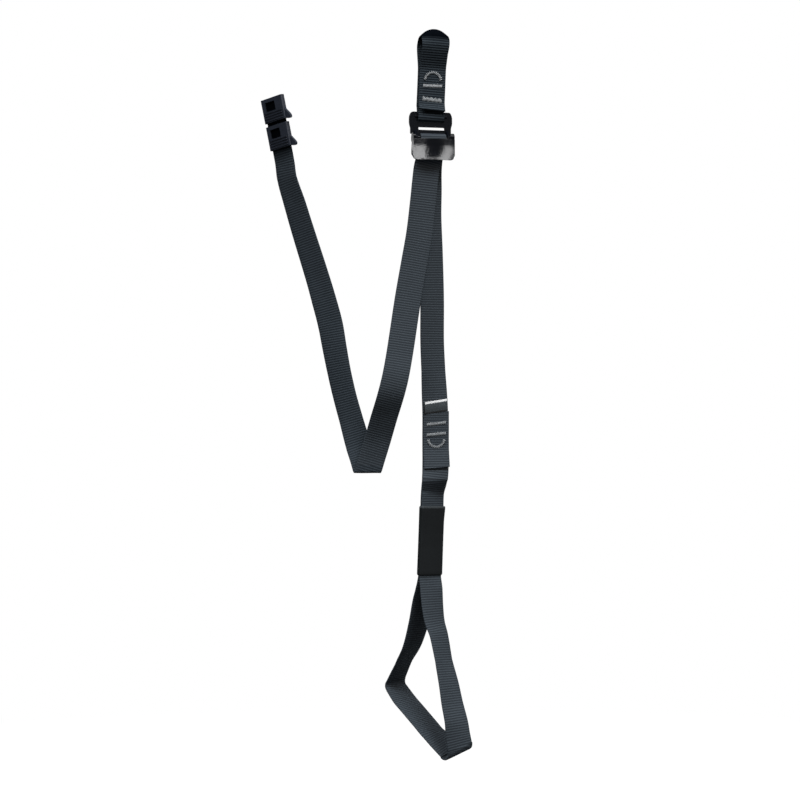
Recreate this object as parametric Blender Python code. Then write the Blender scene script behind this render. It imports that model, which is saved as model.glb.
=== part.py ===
"""Adjustable webbing foot loop for climbing a rope, shown hanging from its sewn eye.

One webbing strap runs from a loose tail over a tilting release plate in a steel buckle, down to a
splice, through an elastic sleeve and round a triangular loop that the boot stands in.
Origin: the bearing point under the eye's crown. +Z is up, X runs along the buckle's bars and
-Y is the front. The strap's route is listed in a front view that stands FRONT_YAW off that front.
"""
import math

import bmesh
import bpy
from mathutils import Matrix, Vector
from mathutils.geometry import interpolate_bezier

# Units
MM = 0.001
DEG = math.pi / 180.0

# Clearances
SEAT_GAP = 0.3 * MM
RUN_GAP = 0.35 * MM

# Webbing
WEB_WIDTH = 26.3 * MM
WEB_THICK = 1.9 * MM
WEB_EDGE = 0.6 * MM
EYE_WIDTH = 29.0 * MM
ROUTE_UNIT = 1.0 * MM
ROUTE_STEP = 9.0 * MM
FRONT_YAW = 14.0 * DEG
SLANT_LEAST_SHARE = 0.9
END_SHARE = 0.004
SHARP_ANGLE = 40.0 * DEG

# Eye: a band round the carabiner, sewn in three layers above the buckle's top bar
EYE_HALF_GAP = 10.0 * MM
EYE_BULGE_DROP = 13.0 * MM
EYE_SEWN_TOP_DROP = 38.5 * MM
EYE_FRONT_END_RISE = 8.0 * MM
EYE_CUP_RADIUS = 16.0 * MM
EYE_CUP_REACH = 23.0 * MM
EYE_STEP = 3.4 * MM
EYE_LEAN = 2.4 * DEG
EYE_ACROSS = 8
FLARE_SHARES = (0.24, 0.56, 0.86)
CROWN_SHARES = (0.74, 0.27)
WRAP_STEPS = 8
WRAP_LEAVE_SHARES = (0.93, 0.55)

# Buckle frame
BAR_DROP = 86.0 * MM
TOP_BAR_RADIUS = 2.2 * MM
FRAME_THICK = 3.0 * MM
CHEEK_TOP = 4.6 * MM
FRAME_HALF_WIDTH = 22.0 * MM
NECK_HALF_WIDTH = 20.8 * MM
WINDOW_HALF_WIDTH = 15.0 * MM
LIP_BAR_TOP = 5.0 * MM
LIP_BAR_BOTTOM = 9.0 * MM
LOWER_BAR_TOP = 13.4 * MM
LOWER_BAR_BOTTOM = 17.4 * MM
CHEEK_CORNER = 4.0 * MM
CORNER_STEPS = 4
BAR_SIDES = 24

# Release plate and the ears that carry it
PIVOT_DROP = 22.0 * MM
PIVOT_FORWARD = 5.5 * MM
RELEASE_BAR_RADIUS = 2.4 * MM
EAR_INNER = 15.3 * MM
EAR_THICK = 2.2 * MM
EAR_RADIUS = 4.4 * MM
EAR_ARC = (-10.0, -240.0)
EAR_STEPS = 14
ARM_THICK = 4.4 * MM
ARM_RADIUS = 5.2 * MM
ARM_FOOT_DROP = 12.0 * MM
ARM_ARC = (-60.0, 170.0)
ARM_STEPS = 16
TAB_THICK = 1.8 * MM
TAB_CROWN_RADIUS = 60.0 * MM
TAB_TOP_DROP = 1.4 * MM
TAB_LENGTH = 21.2 * MM
TAB_CORNER = 5.5 * MM
TAB_FLARE = 1.6 * MM
TAB_STANDOFF = 7.8 * MM
FLARE_START_SHARE = 0.6
TAB_COLUMNS = 20
TAB_ROWS = 7

# Splice above the foot loop
SPLICE_TOP_DROP = 382.0 * MM
SPLICE_LENGTH = 54.5 * MM
SPLICE_CUT_SHARE = 0.8
STRAP_END_COVER = 2.5 * MM
LABEL_WIDTH = 23.0 * MM
LABEL_HEIGHT = 13.5 * MM
LABEL_THICK = 0.6 * MM

# Stitching
TACK_WIDTH = 19.5 * MM
TACK_HEIGHT = 3.4 * MM
THREAD_THICK = 0.6 * MM
TACK_ROUND_SHARE = 0.35
TACK_CORNER_STEPS = 2
MOON_RADIUS = 9.4 * MM
MOON_BAND = 2.8 * MM
MOON_STEPS = 12
MOON_START = 6.0 * DEG
EYE_MOON_DROP = 50.2 * MM
EYE_TACK_DROPS = (55.6 * MM, 68.2 * MM)
FOOT_TACK_DROPS = (392.6 * MM, 403.1 * MM)
FOOT_MOON_DROP = 407.8 * MM

# Second layer of the strap, from the foot loop's apex up under the splice cover
DOUBLED_DROP = 547.0 * MM
BULGE_DROP = 449.0 * MM
BULGE_REACH = 11.0 * MM
BULGE_LIFT = 3.0 * MM

# Elastic sleeve
SLEEVE_TOP_DROP = 475.0 * MM
SLEEVE_LENGTH = 69.0 * MM
SLEEVE_WALL = 0.7 * MM
TUBE_CORNER_SHARE = 0.45
TUBE_CORNER_STEPS = 3

# Strap keepers on the tail
KEEPER_HEIGHT = 24.0 * MM
KEEPER_SPACE = 3.6 * MM
KEEPER_WALL = 1.3 * MM
KEEPER_END_MARGIN = 2.4 * MM
KEEPER_WINDOW_WIDTH = 13.6 * MM
KEEPER_WINDOW_HEIGHT = 9.4 * MM
KEEPER_WINDOW_DROP = 3.6 * MM
KEEPER_WINDOW_ASIDE = 2.6 * MM
KEEPER_RIB = 0.9 * MM
KEEPER_RIB_PITCH = 2.6 * MM
KEEPER_RIB_COUNT = 4
KEEPER_LUG = 6.4 * MM
KEEPER_LUG_SHARES = (
    (0.0, 0.54), (0.35, 0.68), (0.84, 0.86), (0.97, 0.93), (1.0, 0.98), (0.92, 1.03),
    (0.76, 1.05), (0.34, 1.04), (0.24, 1.0), (0.0, 1.0),
)

# Where the strap's separate stretches meet, measured along the strap from the buckle
BUCKLE_CUT_DROP = 40.0 * MM
BACK_ARM_JOIN_DROP = 640.0 * MM
FRONT_ARM_JOIN_DROP = 690.0 * MM

# Routes in route units: across, back, up, then the turn of the webbing about its own run,
# its roll and how far its cross line keeps to that roll instead of squaring to the run
STANDING_ROUTE = (
    (-4.6, -2.2, -137, 18, 0, 0),
    (-4.4, -1.0, -160, 22, 0, 0),
    (-4.5, 1.0, -185, 24, 0, 0),
    (-3.0, 2.0, -222, 25, 0, 0),
    (-1.8, 2.5, -268, 25, 0, 0),
    (-1.8, 2.5, -310, 25, 0, 0),
    (-0.6, 2.2, -340, 23, 0, 0),
    (0.5, 1.8, -364, 13, 0, 0),
    (1.2, 1.1, -382, 10, 0, 0),
    (1.2, 1.1, -409, 10, 0, 0),
    (1.2, 1.1, -437, 10, 0, 0),
    (0.4, 1.1, -448, 18, 0, 0),
    (-0.9, 1.1, -455.5, 26, 0, 0),
    (-2.2, 1.1, -463, 34, 0, 0),
    (-2.656, 1.1, -476, 34, 0, 0),
    (-3.567, 1.1, -502, 34, 0, 0),
    (-4.865, 1.1, -539, 34, 0, 0),
    (-5.11, 1.1, -546, 34, 0, 0),
)
BACK_ARM_ROUTE = (
    (-5.11, 1.1, -546, 34, 0, 0),
    (-7.2, 3.0, -557, 32, 0, 0),
    (-10.6, 9.0, -570, 35, 0, 0),
    (-15.2, 15.5, -594, 38, 0, 0),
    (-21.9, 23.5, -618, 45, 0, 0),
    (-30.4, 33.5, -636, 52, 0, 0),
    (-40.2, 43.0, -659, 41, 6.5, 1),
)
SOLE_ROUTE = (
    (-29.6, 28.6, -672.6, 32, 8, 0),
    (-22.45, 19.525, -679.7, 32, 8, 0),
    (-8.15, 1.375, -693.9, 32, 8, 0),
    (-1.0, -7.7, -701.0, 32, 8, 0),
)
FRONT_ARM_ROUTE = (
    (25.1, -34.0, -720.6, 14, 22, 1),
    (23.2, -33.3, -702, 20, 12, 0.2),
    (21.4, -31.5, -686, 29, 0, 0),
    (17.5, -27.0, -668, 36, 0, 0),
    (14.3, -23.0, -650, 42, 0, 0),
    (9.3, -16.5, -627, 51, 0, 0),
    (4.65, -10.5, -603, 47, 0, 0),
    (0.6, -7.2, -590, 41, 0, 0),
    (-1.5, -5.0, -575, 36, 0, 0),
    (-2.8, -2.6, -557, 31, 0, 0),
)
TAIL_FRONT_ROUTE = (
    (-7.1, -9.8, -136, 12, 0, 0),
    (-8.8, -9.5, -149, 11, 0, 0),
    (-11.2, -9.6, -173, 9, 0, 0),
    (-14.7, -10.5, -203, 6, 0, 0),
    (-19.7, -12.0, -232, 3, 0, 0),
    (-26.0, -14.5, -268, 1, 0, 0),
    (-34.0, -21.0, -321, 0, 0, 0),
    (-38.5, -25.5, -346, 0, 0, 0),
    (-43.0, -22.0, -364, 0, 0, 0),
    (-50.3, -9.5, -388, 0, 0, 0),
    (-55.8, -2.6, -407, 0, 0, 0),
    (-61.0, -1.2, -424, 0, 0, 0.4),
    (-66.7, -1.2, -443, 0, 0, 1),
)
TAIL_BACK_ROUTE = (
    (-66.7, 1.2, -443, 0, 0, 1),
    (-71.3, 3.2, -427, -6, 0, 0.4),
    (-76.5, 6.2, -412, -16, 0, 0),
    (-83.0, 8.6, -389, -23, 0, 0),
    (-89.6, 9.4, -365, -25, 0, 0),
    (-95.1, 9.6, -341, -24, 0, 0),
    (-99.7, 9.5, -317, -20, 0, 0),
    (-104.0, 9.3, -293, -15, 0, 0),
    (-110.3, 9.0, -269, -17, 0, 0),
    (-117.2, 8.7, -245, -22, 0, 0),
    (-132.2, 8.3, -197, -28, 0, 0),
    (-139.7, 8.0, -172, -32, 0, 0),
    (-147.4, 8.0, -147, -40, 0, 0),
    (-149.8, 8.0, -130, -41, 0, 0),
    (-156.4, 8.0, -96, -41, 0, 0),
    (-162.8, 8.0, -63, -41, 0, 0),
)
BACK_FOLD_TRIM = 3.5 * MM
FRONT_FOLD_TRIM = 5.0 * MM
FOLD_STEPS = 8

# Colours and finishes as they look in the photograph
FINISHES = {
    "black_webbing": ((0.030, 0.037, 0.043), 0.85, 0.0),
    "silver_thread": ((0.36, 0.38, 0.40), 0.7, 0.0),
    "black_steel": ((0.012, 0.014, 0.018), 0.35, 0.8),
    "gloss_black_steel": ((0.008, 0.009, 0.012), 0.12, 0.8),
    "black_elastic": ((0.014, 0.015, 0.018), 0.8, 0.0),
    "black_plastic": ((0.020, 0.023, 0.028), 0.45, 0.0),
    "woven_label": ((0.010, 0.011, 0.014), 0.8, 0.0),
}


def clear_scene():
    """Start from an empty scene."""
    for old in list(bpy.data.objects):
        bpy.data.objects.remove(old, do_unlink=True)


def finish(name):
    """A Principled material for one of the real finishes."""
    found = bpy.data.materials.get(name)
    if found:
        return found
    colour, rough, metal = FINISHES[name]
    made = bpy.data.materials.new(name)
    made.use_nodes = True
    shader = made.node_tree.nodes["Principled BSDF"]
    shader.inputs["Base Color"].default_value = (*colour, 1.0)
    shader.inputs["Roughness"].default_value = rough
    shader.inputs["Metallic"].default_value = metal
    return made


def add_object(name, bm, finish_name, parent=None, origin=None):
    """Turn a bmesh in world space into a named object, its origin at the point given."""
    origin = origin or Vector()
    bmesh.ops.recalc_face_normals(bm, faces=bm.faces)
    bmesh.ops.translate(bm, verts=bm.verts, vec=-origin)
    mesh = bpy.data.meshes.new(name)
    bm.to_mesh(mesh)
    bm.free()
    mesh.shade_smooth()
    mesh.set_sharp_from_angle(angle=SHARP_ANGLE)
    mesh.materials.append(finish(finish_name))
    made = bpy.data.objects.new(name, mesh)
    bpy.context.scene.collection.objects.link(made)
    made.location = origin
    if parent:
        bpy.context.view_layer.update()
        made.parent = parent
        made.matrix_parent_inverse = parent.matrix_world.inverted()
    return made


def add_pivot(name, origin, parent=None):
    """An empty on a joint's axis, which carries the pieces that turn or slide with it."""
    pivot = bpy.data.objects.new(name, None)
    bpy.context.scene.collection.objects.link(pivot)
    pivot.location = origin
    bpy.context.view_layer.update()
    if parent:
        pivot.parent = parent
        pivot.matrix_parent_inverse = parent.matrix_world.inverted()
        bpy.context.view_layer.update()
    return pivot


def hide_helper(helper):
    """A cutter or an added shape is worked into its piece and not shown by itself."""
    helper.hide_render = True
    helper.display_type = "WIRE"


def combine(target, helper, operation):
    """Add a helper's shape to a piece, or cut it away."""
    hide_helper(helper)
    step = target.modifiers.new(helper.name, "BOOLEAN")
    step.operation = operation
    step.object = helper


# Webbing

def turned_to_front(across, back, up):
    """A point or direction of the front view in the object's own frame."""
    turn = Matrix.Rotation(-FRONT_YAW, 3, "Z")
    return turn @ Vector((across, back, up))


def cross_line(turn_deg, roll_deg):
    """The direction across the webbing, from its turn and roll in the front view."""
    turn = turn_deg * DEG
    roll = roll_deg * DEG
    flat = math.cos(roll)
    return turned_to_front(flat * math.cos(turn), flat * math.sin(turn), math.sin(roll))


def route_knots(route):
    """Knots (place, cross line, slant) in the object's frame from a route in route units."""
    knots = []
    for across, back, up, turn, roll, slant in route:
        place = turned_to_front(across, back, up) * ROUTE_UNIT
        knots.append((place, cross_line(turn, roll), slant))
    return knots


def spline_stations(knots, step):
    """Stations (place, cross line, slant) along a smooth curve through the knots."""
    places = [knot[0] for knot in knots]
    spans = [(b - a).length for a, b in zip(places, places[1:])]
    slopes = []
    for i, place in enumerate(places):
        if i == 0:
            slopes.append((places[1] - place) / spans[0])
        elif i == len(places) - 1:
            slopes.append((place - places[i - 1]) / spans[-1])
        else:
            reach = spans[i - 1] + spans[i]
            slopes.append((places[i + 1] - places[i - 1]) / reach)
    stations = []
    for i, span in enumerate(spans):
        count = max(2, round(span / step) + 1)
        first = places[i] + slopes[i] * span / 3
        second = places[i + 1] - slopes[i + 1] * span / 3
        curve = interpolate_bezier(places[i], first, second, places[i + 1], count)
        for j, point in enumerate(curve):
            if j == 0 and i > 0:
                continue
            share = j / (count - 1)
            line = knots[i][1].lerp(knots[i + 1][1], share).normalized()
            slant = knots[i][2] + (knots[i + 1][2] - knots[i][2]) * share
            stations.append((point.copy(), line, slant))
    return stations


def fold_join(first, second, trim):
    """Join two runs of stations that meet at a crease, rounding the crease."""
    corner, line, slant = first[-1]
    near_a = [s for s in first if (s[0] - corner).length > trim]
    near_b = [s for s in second if (s[0] - corner).length > trim]
    start = corner + (near_a[-1][0] - corner).normalized() * trim
    end = corner + (near_b[0][0] - corner).normalized() * trim
    bend = []
    for j in range(FOLD_STEPS + 1):
        t = j / FOLD_STEPS
        point = start * (1 - t) ** 2 + corner * (2 * t * (1 - t)) + end * t ** 2
        bend.append((point, line, slant))
    return near_a + bend + near_b


def lengths_along(stations):
    """Distance of each station from the first, along the run."""
    total = 0.0
    found = [0.0]
    for a, b in zip(stations, stations[1:]):
        total += (b[0] - a[0]).length
        found.append(total)
    return found


def with_runs(stations):
    """Stations with the direction of the run at each one added."""
    last = len(stations) - 1
    found = []
    for i, (place, line, slant) in enumerate(stations):
        run = stations[min(i + 1, last)][0] - stations[max(i - 1, 0)][0]
        found.append((place, line, slant, run.normalized()))
    return found


def stretch_between(plain, start, end):
    """The stations between two distances along the run, with one at each end."""
    stations = with_runs(plain)
    marks = lengths_along(stations)

    def at(distance):
        for i in range(len(marks) - 1):
            if marks[i + 1] >= distance:
                share = (distance - marks[i]) / (marks[i + 1] - marks[i])
                a, b = stations[i], stations[i + 1]
                line = a[1].lerp(b[1], share).normalized()
                run = a[3].lerp(b[3], share).normalized()
                return (a[0].lerp(b[0], share), line, a[2] + (b[2] - a[2]) * share, run)
        return stations[-1]

    spare = (end - start) * END_SHARE
    inner = [s for s, m in zip(stations, marks) if start + spare < m < end - spare]
    return [at(start)] + inner + [at(end)]


def band_mesh(stations, width, thick, cups=None, across=1):
    """A closed band of webbing along the stations, flat or cupped across its width."""
    bm = bmesh.new()
    rings = []
    for i, (place, line, slant, run) in enumerate(stations):
        square = (line - run * line.dot(run)).normalized()
        line = square.lerp(line, slant).normalized()
        face = run.cross(line)
        line = line / max(face.length, SLANT_LEAST_SHARE)
        face.normalize()
        bend = cups[i] if cups else 0.0
        ring = []
        inner = width / 2 - WEB_EDGE

        def corner(offset, rise):
            angle = offset * bend
            if bend:
                aside = math.sin(angle) / bend
                sunk = (1 - math.cos(angle)) / bend
            else:
                aside = offset
                sunk = 0.0
            out = face * math.cos(angle) + line * math.sin(angle)
            return bm.verts.new(place + line * aside - face * sunk + out * rise)

        for j in range(across + 1):
            ring.append(corner(-inner + 2 * inner * j / across, thick / 2))
        ring.append(corner(width / 2, 0.0))
        for j in range(across + 1):
            ring.append(corner(inner - 2 * inner * j / across, -thick / 2))
        ring.append(corner(-width / 2, 0.0))
        rings.append(ring)
    for a, b in zip(rings, rings[1:]):
        for j in range(len(a)):
            k = (j + 1) % len(a)
            bm.faces.new((a[j], a[k], b[k], b[j]))
    bm.faces.new(rings[0])
    bm.faces.new(reversed(rings[-1]))
    return bm


def webbing_piece(name, stations, parent=None, origin=None):
    """A plain stretch of the strap as its own node."""
    bm = band_mesh(stations, WEB_WIDTH, WEB_THICK)
    return add_object(name, bm, "black_webbing", parent, origin)


# Eye

def wrap_radius(bar_radius):
    """Radius of the webbing's middle line where it goes round a bar."""
    return bar_radius + SEAT_GAP + WEB_THICK / 2


def eye_lean(up):
    """Sideways place of the eye's middle at a height, measured from the crown."""
    return up * math.tan(EYE_LEAN)


def eye_stations():
    """The eye's webbing from its front end over the crown, round the bar and up inside."""
    layer = WEB_THICK + SEAT_GAP
    wrap = wrap_radius(TOP_BAR_RADIUS)
    gap = EYE_HALF_GAP
    bulge = EYE_BULGE_DROP
    sewn = EYE_SEWN_TOP_DROP
    front_end = BAR_DROP - EYE_FRONT_END_RISE
    flare = sewn - bulge
    middle_turn = front_end + SEAT_GAP * 2
    side = [
        (layer, -front_end),
        (layer, -(front_end + sewn) / 2),
        (layer, -sewn),
        (layer + (gap - layer) * FLARE_SHARES[0], -(sewn - flare / 4)),
        (layer + (gap - layer) * FLARE_SHARES[1], -(sewn - flare / 2)),
        (layer + (gap - layer) * FLARE_SHARES[2], -(sewn - flare * 3 / 4)),
        (gap, -bulge),
        (gap * CROWN_SHARES[0], -bulge * CROWN_SHARES[1]),
    ]
    profile = [(-y, z) for y, z in side]
    profile.append((0.0, WEB_THICK / 2))
    profile += [(y, z) for y, z in reversed(side[2:])]
    profile.append((layer, -(BAR_DROP - wrap * 3)))
    for j in range(WRAP_STEPS + 1):
        angle = math.pi * j / WRAP_STEPS
        profile.append((wrap * math.cos(angle), -BAR_DROP - wrap * math.sin(angle)))
    profile.append((-wrap * WRAP_LEAVE_SHARES[0], -BAR_DROP + wrap * WRAP_LEAVE_SHARES[1]))
    profile.append((0.0, -middle_turn))
    profile.append((0.0, -(middle_turn + sewn) / 2))
    profile.append((0.0, -sewn))
    knots = []
    for y, z in profile:
        knots.append((Vector((eye_lean(z), y, z)), Vector((1, 0, 0)), 0))
    return spline_stations(knots, EYE_STEP)


def eye_cups(stations):
    """How each station curls across its width, edges inward: most at the crown, flat below."""
    marks = lengths_along(stations)
    top = max(range(len(stations)), key=lambda i: stations[i][0].z)
    cups = []
    for mark in marks:
        away = abs(mark - marks[top]) / EYE_CUP_REACH
        fade = max(0.0, 1.0 - away)
        cups.append(-fade * fade * (3 - 2 * fade) / EYE_CUP_RADIUS)
    return cups


def make_eye(parent):
    """The sewn eye's one webbing band."""
    stations = with_runs(eye_stations())
    bm = band_mesh(stations, EYE_WIDTH, WEB_THICK, eye_cups(stations), EYE_ACROSS)
    return add_object("eye_webbing", bm, "black_webbing", parent)


# Stitching

def make_tack(name, middle, drop, turn, lift, lean, parent):
    """A bar tack: a dense bar of thread across the webbing, with rounded corners."""
    bm = bmesh.new()
    half_w = TACK_WIDTH / 2
    half_h = TACK_HEIGHT / 2
    round_off = TACK_HEIGHT * TACK_ROUND_SHARE
    outline = []
    for sx, sz, start in ((1, 1, 0), (-1, 1, 90), (-1, -1, 180), (1, -1, 270)):
        for j in range(TACK_CORNER_STEPS + 1):
            angle = (start + 90 * j / TACK_CORNER_STEPS) * DEG
            x = sx * (half_w - round_off) + round_off * math.cos(angle)
            z = sz * (half_h - round_off) + round_off * math.sin(angle)
            outline.append((x, z))
    thin_slab(bm, outline, middle, drop, turn, lift, lean, THREAD_THICK)
    return add_object(name, bm, "silver_thread", parent)


def thin_slab(bm, outline, middle, drop, turn, lift, lean, thick):
    """A thin slab with the outline given, laid on a face that is turned and leans."""
    place = Matrix.Translation(Vector((middle.x, middle.y, -drop)))
    place = place @ Matrix.Rotation(turn, 4, "Z") @ Matrix.Rotation(lean, 4, "Y")
    front = []
    back = []
    for x, z in outline:
        front.append(bm.verts.new(place @ Vector((x, -lift - thick, z))))
        back.append(bm.verts.new(place @ Vector((x, -lift, z))))
    bm.faces.new(front)
    bm.faces.new(reversed(back))
    count = len(outline)
    for j in range(count):
        k = (j + 1) % count
        bm.faces.new((front[j], back[j], back[k], front[k]))


def make_moon(name, middle, drop, turn, lift, lean, rising, parent):
    """A half-moon row of zigzag thread: a band bent to an arch, up or down."""
    bm = bmesh.new()
    outer = []
    inner = []
    for j in range(MOON_STEPS + 1):
        angle = MOON_START + (math.pi - 2 * MOON_START) * j / MOON_STEPS
        reach = math.sin(angle) * (1 if rising else -1)
        outer.append((MOON_RADIUS * math.cos(angle), MOON_RADIUS * reach))
        small = MOON_RADIUS - MOON_BAND
        inner.append((small * math.cos(angle), small * reach))
    outline = outer + inner[::-1]
    if not rising:
        outline = outline[::-1]
    thin_slab(bm, outline, middle, drop, turn, lift, lean, THREAD_THICK)
    return add_object(name, bm, "silver_thread", parent)


# Buckle frame

def buckle_point(x, y, z):
    """A point of the buckle, from distances right of, behind and above its top bar."""
    return Vector((eye_lean(-BAR_DROP) + x, y, -BAR_DROP + z))


def rounded_path(points, radii):
    """A closed outline whose corners are rounded by the radii given."""
    outline = []
    count = len(points)
    for i, point in enumerate(points):
        here = Vector(point)
        radius = radii[i]
        if not radius:
            outline.append(here)
            continue
        before = (Vector(points[i - 1]) - here).normalized()
        after = (Vector(points[(i + 1) % count]) - here).normalized()
        start = here + before * radius
        end = here + after * radius
        for j in range(CORNER_STEPS + 1):
            t = j / CORNER_STEPS
            outline.append(start * (1 - t) ** 2 + here * (2 * t * (1 - t)) + end * t ** 2)
    return outline


def extrude_xz(outline, y_from, y_to):
    """A slab of the buckle from an outline seen from the front."""
    bm = bmesh.new()
    near = [bm.verts.new(buckle_point(x, y_from, z)) for x, z in outline]
    far = [bm.verts.new(buckle_point(x, y_to, z)) for x, z in outline]
    return close_slab(bm, near, far)


def extrude_yz(outline, x_from, x_to):
    """A slab of the buckle from an outline seen from the side."""
    bm = bmesh.new()
    near = [bm.verts.new(buckle_point(x_from, y, z)) for y, z in outline]
    far = [bm.verts.new(buckle_point(x_to, y, z)) for y, z in outline]
    return close_slab(bm, near, far)


def close_slab(bm, near, far):
    """Close the faces and sides between two copies of an outline."""
    bm.faces.new(near)
    bm.faces.new(reversed(far))
    count = len(near)
    for j in range(count):
        k = (j + 1) % count
        bm.faces.new((near[k], near[j], far[j], far[k]))
    return bm


def bar_along_x(radius, half_length, y, z):
    """A round bar across the buckle."""
    outline = []
    for j in range(BAR_SIDES):
        angle = 2 * math.pi * j / BAR_SIDES
        outline.append((y + radius * math.cos(angle), z + radius * math.sin(angle)))
    return extrude_yz(outline, -half_length, half_length)


def ear_outline(radius):
    """An ear seen from the side: from the frame's plate forward and down round the pivot."""
    half = FRAME_THICK / 2
    y = -PIVOT_FORWARD
    z = -PIVOT_DROP
    outline = [(half, -LIP_BAR_BOTTOM), (half, -LOWER_BAR_BOTTOM)]
    for j in range(EAR_STEPS + 1):
        angle = (EAR_ARC[0] + (EAR_ARC[1] - EAR_ARC[0]) * j / EAR_STEPS) * DEG
        outline.append((y + radius * math.cos(angle), z + radius * math.sin(angle)))
    outline.append((-half, -LOWER_BAR_TOP))
    outline.append((-half, -LIP_BAR_BOTTOM))
    return outline


def make_frame(parent, origin):
    """The stamped frame: cheeks, top bar, lip bar, lower bar and two forward ears."""
    half = FRAME_HALF_WIDTH
    neck = NECK_HALF_WIDTH
    shoulder = -(LIP_BAR_BOTTOM - FRAME_THICK / 2)
    waist = -(LIP_BAR_BOTTOM + LOWER_BAR_TOP) / 2
    bottom = -LOWER_BAR_BOTTOM
    right = [(half - CHEEK_CORNER / 2, CHEEK_TOP), (half, 0.0), (half, shoulder), (neck, waist)]
    right.append((neck, bottom))
    points = right + [(-x, z) for x, z in reversed(right)]
    corner = CHEEK_CORNER
    radii = [corner / 2, corner / 2, corner / 2, corner / 4, corner / 4]
    outline = rounded_path(points, radii + radii[::-1])
    bm = extrude_xz(outline, -FRAME_THICK / 2, FRAME_THICK / 2)
    frame = add_object("buckle_frame", bm, "black_steel", parent, origin)

    opening = WINDOW_HALF_WIDTH
    upper = extrude_xz([(-opening, -LIP_BAR_TOP), (opening, -LIP_BAR_TOP),
                        (opening, CHEEK_TOP * 2), (-opening, CHEEK_TOP * 2)],
                       -FRAME_THICK, FRAME_THICK)
    combine(frame, add_object("webbing_slot_cutter", upper, "black_steel"), "DIFFERENCE")
    corners = [(-opening, -LOWER_BAR_TOP), (opening, -LOWER_BAR_TOP),
               (opening, -LIP_BAR_BOTTOM), (-opening, -LIP_BAR_BOTTOM)]
    lower = extrude_xz(rounded_path(corners, [corner / 4] * 4), -FRAME_THICK, FRAME_THICK)
    combine(frame, add_object("window_cutter", lower, "black_steel"), "DIFFERENCE")

    bar = bar_along_x(TOP_BAR_RADIUS, opening + FRAME_THICK / 2, 0.0, 0.0)
    combine(frame, add_object("top_bar_form", bar, "black_steel"), "UNION")
    for side in (-1, 1):
        ear = extrude_yz(ear_outline(EAR_RADIUS), side * EAR_INNER, side * (EAR_INNER + EAR_THICK))
        combine(frame, add_object(f"ear_form_{side}", ear, "black_steel"), "UNION")
    bore = bar_along_x(RELEASE_BAR_RADIUS + RUN_GAP, FRAME_HALF_WIDTH + EAR_THICK,
                       -PIVOT_FORWARD, -PIVOT_DROP)
    combine(frame, add_object("pivot_bore_cutter", bore, "black_steel"), "DIFFERENCE")
    return frame


# Release plate

def tab_front(x, down):
    """How far in front of the pivot the release tab's outer face lies."""
    crown = TAB_CROWN_RADIUS - math.sqrt(TAB_CROWN_RADIUS ** 2 - x ** 2)
    low = max(0.0, down / TAB_LENGTH - FLARE_START_SHARE) / (1 - FLARE_START_SHARE)
    return TAB_STANDOFF + TAB_THICK - crown + TAB_FLARE * low * low


def tab_mesh():
    """The curved thumb tab: crowned across, flared at its lower edge, round lower corners."""
    bm = bmesh.new()
    half = EAR_INNER + EAR_THICK + RUN_GAP + ARM_THICK
    straight = half - TAB_CORNER
    front = []
    back = []
    for i in range(TAB_COLUMNS + 1):
        x = -half + 2 * half * i / TAB_COLUMNS
        over = min(max(0.0, abs(x) - straight), TAB_CORNER)
        lift = TAB_CORNER - math.sqrt(TAB_CORNER ** 2 - over ** 2)
        length = TAB_LENGTH - lift
        rows_front = []
        rows_back = []
        for j in range(TAB_ROWS + 1):
            down = length * j / TAB_ROWS
            z = -PIVOT_DROP - TAB_TOP_DROP - down
            y = -PIVOT_FORWARD - tab_front(x, down)
            rows_front.append(bm.verts.new(buckle_point(x, y, z)))
            rows_back.append(bm.verts.new(buckle_point(x, y + TAB_THICK, z)))
        front.append(rows_front)
        back.append(rows_back)
    for i in range(TAB_COLUMNS):
        for j in range(TAB_ROWS):
            a, b = front[i], front[i + 1]
            bm.faces.new((a[j], b[j], b[j + 1], a[j + 1]))
            a, b = back[i], back[i + 1]
            bm.faces.new((b[j], a[j], a[j + 1], b[j + 1]))
        bm.faces.new((front[i][0], back[i][0], back[i + 1][0], front[i + 1][0]))
        bm.faces.new((back[i][-1], front[i][-1], front[i + 1][-1], back[i + 1][-1]))
    for j in range(TAB_ROWS):
        bm.faces.new((front[0][j], front[0][j + 1], back[0][j + 1], back[0][j]))
        bm.faces.new((back[-1][j], back[-1][j + 1], front[-1][j + 1], front[-1][j]))
    return bm


def arm_outline():
    """An end arm seen from the side: a disc round the bar with a foot into the tab."""
    y = -PIVOT_FORWARD
    z = -PIVOT_DROP
    half = EAR_INNER + EAR_THICK + RUN_GAP + ARM_THICK
    reach = tab_front(half, 0.0) - TAB_THICK / 2
    outline = []
    for j in range(ARM_STEPS + 1):
        angle = (ARM_ARC[0] + (ARM_ARC[1] - ARM_ARC[0]) * j / ARM_STEPS) * DEG
        outline.append((y + ARM_RADIUS * math.cos(angle), z + ARM_RADIUS * math.sin(angle)))
    outline.append((y - reach, z - TAB_TOP_DROP * 2))
    outline.append((y - reach, z - ARM_FOOT_DROP))
    outline.append((y - reach + TAB_THICK / 2, z - ARM_FOOT_DROP))
    return outline


def make_release_plate(parent, origin):
    """The tilting plate: a round bar for the strap, end arms and the thumb tab."""
    plate = add_object("release_plate", tab_mesh(), "gloss_black_steel", parent, origin)
    inner = EAR_INNER + EAR_THICK + RUN_GAP
    for side in (-1, 1):
        arm = extrude_yz(arm_outline(), side * inner, side * (inner + ARM_THICK))
        combine(plate, add_object(f"arm_form_{side}", arm, "gloss_black_steel"), "UNION")
    bar = bar_along_x(RELEASE_BAR_RADIUS, inner + ARM_THICK / 2, -PIVOT_FORWARD, -PIVOT_DROP)
    combine(plate, add_object("release_bar_form", bar, "gloss_black_steel"), "UNION")
    return plate


# Main strap

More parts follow.
